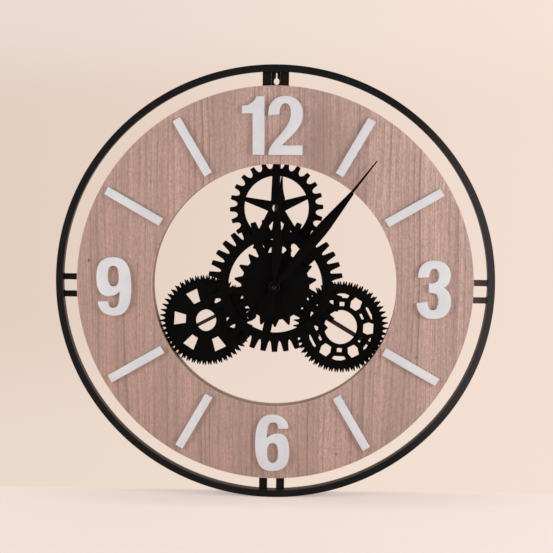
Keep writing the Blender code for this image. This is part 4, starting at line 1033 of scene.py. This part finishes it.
def hands(black):
    """Both hands. The weight on the minute hand's tail is a disc of half width sqrt(disc^2 - step^2)."""
    disc, behind = 6.9, 49.0
    step = np.linspace(6.4, -6.0, 25)
    weight = list(zip(step - behind, np.sqrt(disc ** 2 - step ** 2)))
    minute = [(5.0, 1.7), (8.0, 2.3), (18.0, 3.4), (30.0, 4.7), (42.5, 5.7), (54.0, 6.5), (65.0, 7.1)]
    minute += [(80.0, 7.9), (90.0, 8.2), (100.0, 8.3), (110.0, 8.0), (140.0, 5.3), (166.2, 2.75)]
    minute += [(168.0, 1.8), (195.0, 1.35), (220.3, 0.8), (-5.0, 1.5), (-8.0, 1.5), (-42.0, 1.1), *weight]
    drift = ((166.2, 0.0), (168.0, -0.65), (195.0, -1.1), (220.3, -1.5))
    hand("minute_blade", minute, 5.6, 1.8, 30.4, MINUTE_TURN, black, "minute_hand", "minute", drift=drift)
    hour = [(6.0, 1.8), (11.0, 2.3), (19.0, 3.4), (28.0, 4.7), (36.0, 5.8), (43.0, 6.8), (48.0, 7.3)]
    hour += [(54.0, 7.4), (60.0, 7.0), (66.0, 6.3), (73.0, 5.2), (80.0, 4.1), (88.0, 3.1), (96.0, 2.8)]
    hour += [(104.0, 2.5), (112.0, 2.5), (116.5, 2.8), (118.1, 4.5), (119.4, 5.8), (120.8, 6.3)]
    hour += [(122.4, 6.3), (124.5, 5.6), (128.0, 4.3), (131.8, 3.4), (136.0, 2.6), (140.4, 2.0)]
    hour += [(146.0, 1.5), (152.2, 1.0), (160.0, 0.5), (-6.0, 1.5), (-9.0, 1.5), (-20.0, 3.0)]
    hour += [(-27.0, 3.7), (-30.0, 3.6), (-34.4, 0.6)]
    hand("hour_blade", hour, 6.6, 2.8, 28.6, HOUR_TURN, black, "hour_hand", "hour")


def dress(frame, finishes):
    """CAD nodes whose shape is right keep it and get a finish."""
    for name, finish in finishes.items():
        node = frame["nodes"][name]
        if not node.material_slots:
            node.data.materials.append(finish)
        for slot in node.material_slots:
            slot.material = finish


def paper_floor():
    """Seamless pale paper: partly lit where the clock stands, most at its foot as painted shade, and plain
    further off.
    """
    s = Shader("pale_paper")
    x, y = s.axis("X"), s.axis("Y")
    grain = s.noise(300.0, 3.0)
    paper = s.mix(grain * 0.10, PAPER, tuple(0.94 * c for c in PAPER))
    lit = s.node("ShaderNodeBsdfDiffuse", None, {"Color": paper})
    slant = x / (1.7 + y)
    behind = y.between(0.016, 0.030)
    plain = s.mix(y.between(0.05, 1.50), sideways(s, slant, BACKDROP_LOW), sideways(s, slant, BACKDROP))
    seen = s.mix(behind, sideways(s, slant, FRONT_PAPER), plain)
    glow = s.node("ShaderNodeEmission", None, {"Color": seen, "Strength": 1.0})
    far = behind.math("MAXIMUM", y.between(-0.60, -0.32, 1.0, 0.0))
    # Near the foot the glow's share falls from 0.62 to 0.42 and the darker lit paper shows: painted shade
    # that deepens the contact shadow.
    foot = ((x * 3.2) ** 2.0 + (y * 20.0) ** 2.0).between(0.2, 1.8, 0.42, 0.62)
    share = s.seen_plain() * (foot + far * (1.0 - foot))
    s.surface(s.node("ShaderNodeMixShader", None, {0: share, 1: lit, 2: glow}))
    size = 14.0
    low = -0.001 * RING[1] * OVAL
    corners = [(x, y, low) for x, y in oblong(-size, size, -size, size)]
    data = bpy.data.meshes.new("floor")
    data.from_pydata(corners, [], [(0, 1, 2, 3)])
    data.materials.append(s.made)
    floor = placed("floor", data)


def sideways(s, slant, tones):
    """The left tone turning to the right one. Slant is sideways distance over distance back."""
    return s.mix(slant.between(-0.32, 0.32), *tones)


def surroundings():
    """Even pale light from all round. The backdrop is seen as cream, and mirrored rays meet a dim room."""
    s = Shader("studio", "worlds", "ShaderNodeOutputWorld", "Generated")
    slant = s.axis("X") / s.axis("Y").math("MAXIMUM", 0.2)
    tones = (sideways(s, slant, pair) for pair in (BACKDROP, BACKDROP_HIGH))
    tone = s.mix(s.axis("Z").between(-0.01, 0.07), *tones)
    dim = s.ray("Glossy") * s.axis("Y").between(-0.3, 0.3, 0.65, 0.0)
    tone = s.mix(dim, tone, (0.10, 0.09, 0.08))
    pale = (0.96, 0.98, 1.0, 1.0)
    light = s.node("ShaderNodeBackground", None, {"Color": pale, "Strength": ROOM_LIGHT})
    seen = s.node("ShaderNodeBackground", None, {"Color": tone, "Strength": 1.0})
    s.surface(s.node("ShaderNodeMixShader", None, {0: s.seen_plain(), 1: light, 2: seen}))
    bpy.context.scene.world = s.made


def soft_box(name, side, power, colour):
    """A large soft lamp low at one side, aimed at the dial."""
    place, aim = Vector((side * 1.75, -0.75, 0.42)), Vector((side * 0.1, 0.0, -0.05))
    data = bpy.data.lights.new(name, "AREA")
    data.shape = "RECTANGLE"
    data.size, data.size_y = 0.7, 0.9
    data.energy = power
    data.color = colour
    made = placed(name, data)
    made.location = place
    made.rotation_euler = (aim - place).to_track_quat("-Z", "Y").to_euler()
    made.visible_camera = False


def camera():
    """The photograph's view: 1.64 m in front, a quarter of a metre above the middle, turned slightly left."""
    data = bpy.data.cameras.new("camera")
    data.sensor_fit = "HORIZONTAL"
    data.sensor_width = 36.0
    data.lens = 78.64
    data.shift_x = 0.0298
    data.shift_y = 0.0443
    made = placed("camera", data)
    right = Vector((0.99935, 0.03554, 0.00298)).normalized()
    ahead = Vector((-0.03460, 0.98647, -0.16023)).normalized()
    up = right.cross(ahead).normalized()
    right = ahead.cross(up).normalized()
    turn = Matrix((right, up, -ahead)).transposed().to_4x4()
    eye = (0.0381, -1.6440, 0.2462)
    made.matrix_world = Matrix.Translation(eye) @ turn
    bpy.context.scene.camera = made


def main():
    """Mixes the finishes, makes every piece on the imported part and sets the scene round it."""
    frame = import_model()
    # The two right-side colours are a painted sheen that pales the ring and the bars towards the right.
    ring_painted_sheen, bar_painted_sheen = (0.033, 0.031, 0.033), (0.098, 0.070, 0.064)
    black = powder_coat("satin_black_steel", (0.0052, 0.0054, 0.0062), 0.40, 0.11, right=ring_painted_sheen)
    bar_black = powder_coat("bar_black_steel", (0.0050, 0.0036, 0.0034), 0.40, 0.11, right=bar_painted_sheen)
    gear_black = powder_coat("gear_black", (0.0018, 0.0018, 0.0018), 0.46, 0.03)
    hand_black = powder_coat("hand_black", (0.0010, 0.0009, 0.0010), 0.30, 0.05, 0.3)
    cap_black = powder_coat("cap_black", (0.0040, 0.0040, 0.0042), 0.24, 0.15, 0.3)
    stay_black = powder_coat("stay_black", (0.013, 0.0075, 0.0065), 0.30, 0.20, 0.4)
    face = veneer("greyed_oak_veneer")
    # The cut walls use a darker copy of the board: the fibre's own darker brown and painted shade.
    edge = raw_board("board_edge_painted_shade", (0.300, 0.190, 0.140), (0.150, 0.088, 0.062))
    rear = raw_board("board_back", (0.420, 0.290, 0.200), (0.270, 0.175, 0.115))
    ring_wood = raw_board("rear_ring_board", (0.480, 0.335, 0.260), (0.340, 0.225, 0.170))
    white = white_acrylic("cold_white_acrylic")
    steel = brushed("bright_steel", (0.62, 0.62, 0.64), (0.40, 0.40, 0.41), 0.26)
    zinc = brushed("zinc_plate", (0.60, 0.61, 0.62), (0.36, 0.36, 0.35), 0.34)
    brass = brushed("brass", (0.66, 0.48, 0.20), (0.42, 0.28, 0.11), 0.30)
    plastic = moulded("box_plastic", (0.020, 0.020, 0.022), 0.42)
    cover = moulded("cover_plastic", (0.026, 0.026, 0.028), 0.50)
    wheel_plastic = moulded("wheel_plastic", (0.62, 0.60, 0.54), 0.40)
    wrap = cell_wrap("cell_sleeve")
    # The ring's inner wall gets a painted reflection of the warm wood.
    outer_ring(black, wall_with_painted_reflection("ring_inside_painted_reflection", (0.020, 0.010, 0.007), (0.074, 0.043, 0.031)))
    rear_hoop(ring_wood)
    dial_board(face, edge, rear)
    bars(bar_black)
    screws(zinc)
    hanger(bar_black)
    hour_marks(white)
    numerals(white)
    top_gear(gear_black)
    right_gear(gear_black)
    left_gear(gear_black)
    centre_gears(gear_black)
    struts(stay_black)
    movement(plastic, cover, steel, wrap)
    setting_knob(plastic)
    centre_hardware(cap_black, black, brass)
    hands(hand_black)
    dress(frame, {
        "battery_contact_minus": steel,
        "battery_contact_plus": steel,
        "minute_arbor": steel,
        "hour_tube": brass,
        "transfer_wheel": wheel_plastic,
        "drive_coil": wound_wire("coil_wire"),
        "circuit_board": board_lacquer("board_lacquer"),
    })
    paper_floor()
    surroundings()
    soft_box("left_window", -1, 25.0, (1.0, 0.99, 0.97))
    soft_box("right_window", 1, 29.0, (0.98, 0.99, 1.0))
    camera()
    bpy.context.scene.view_settings.view_transform = "Standard"


main()
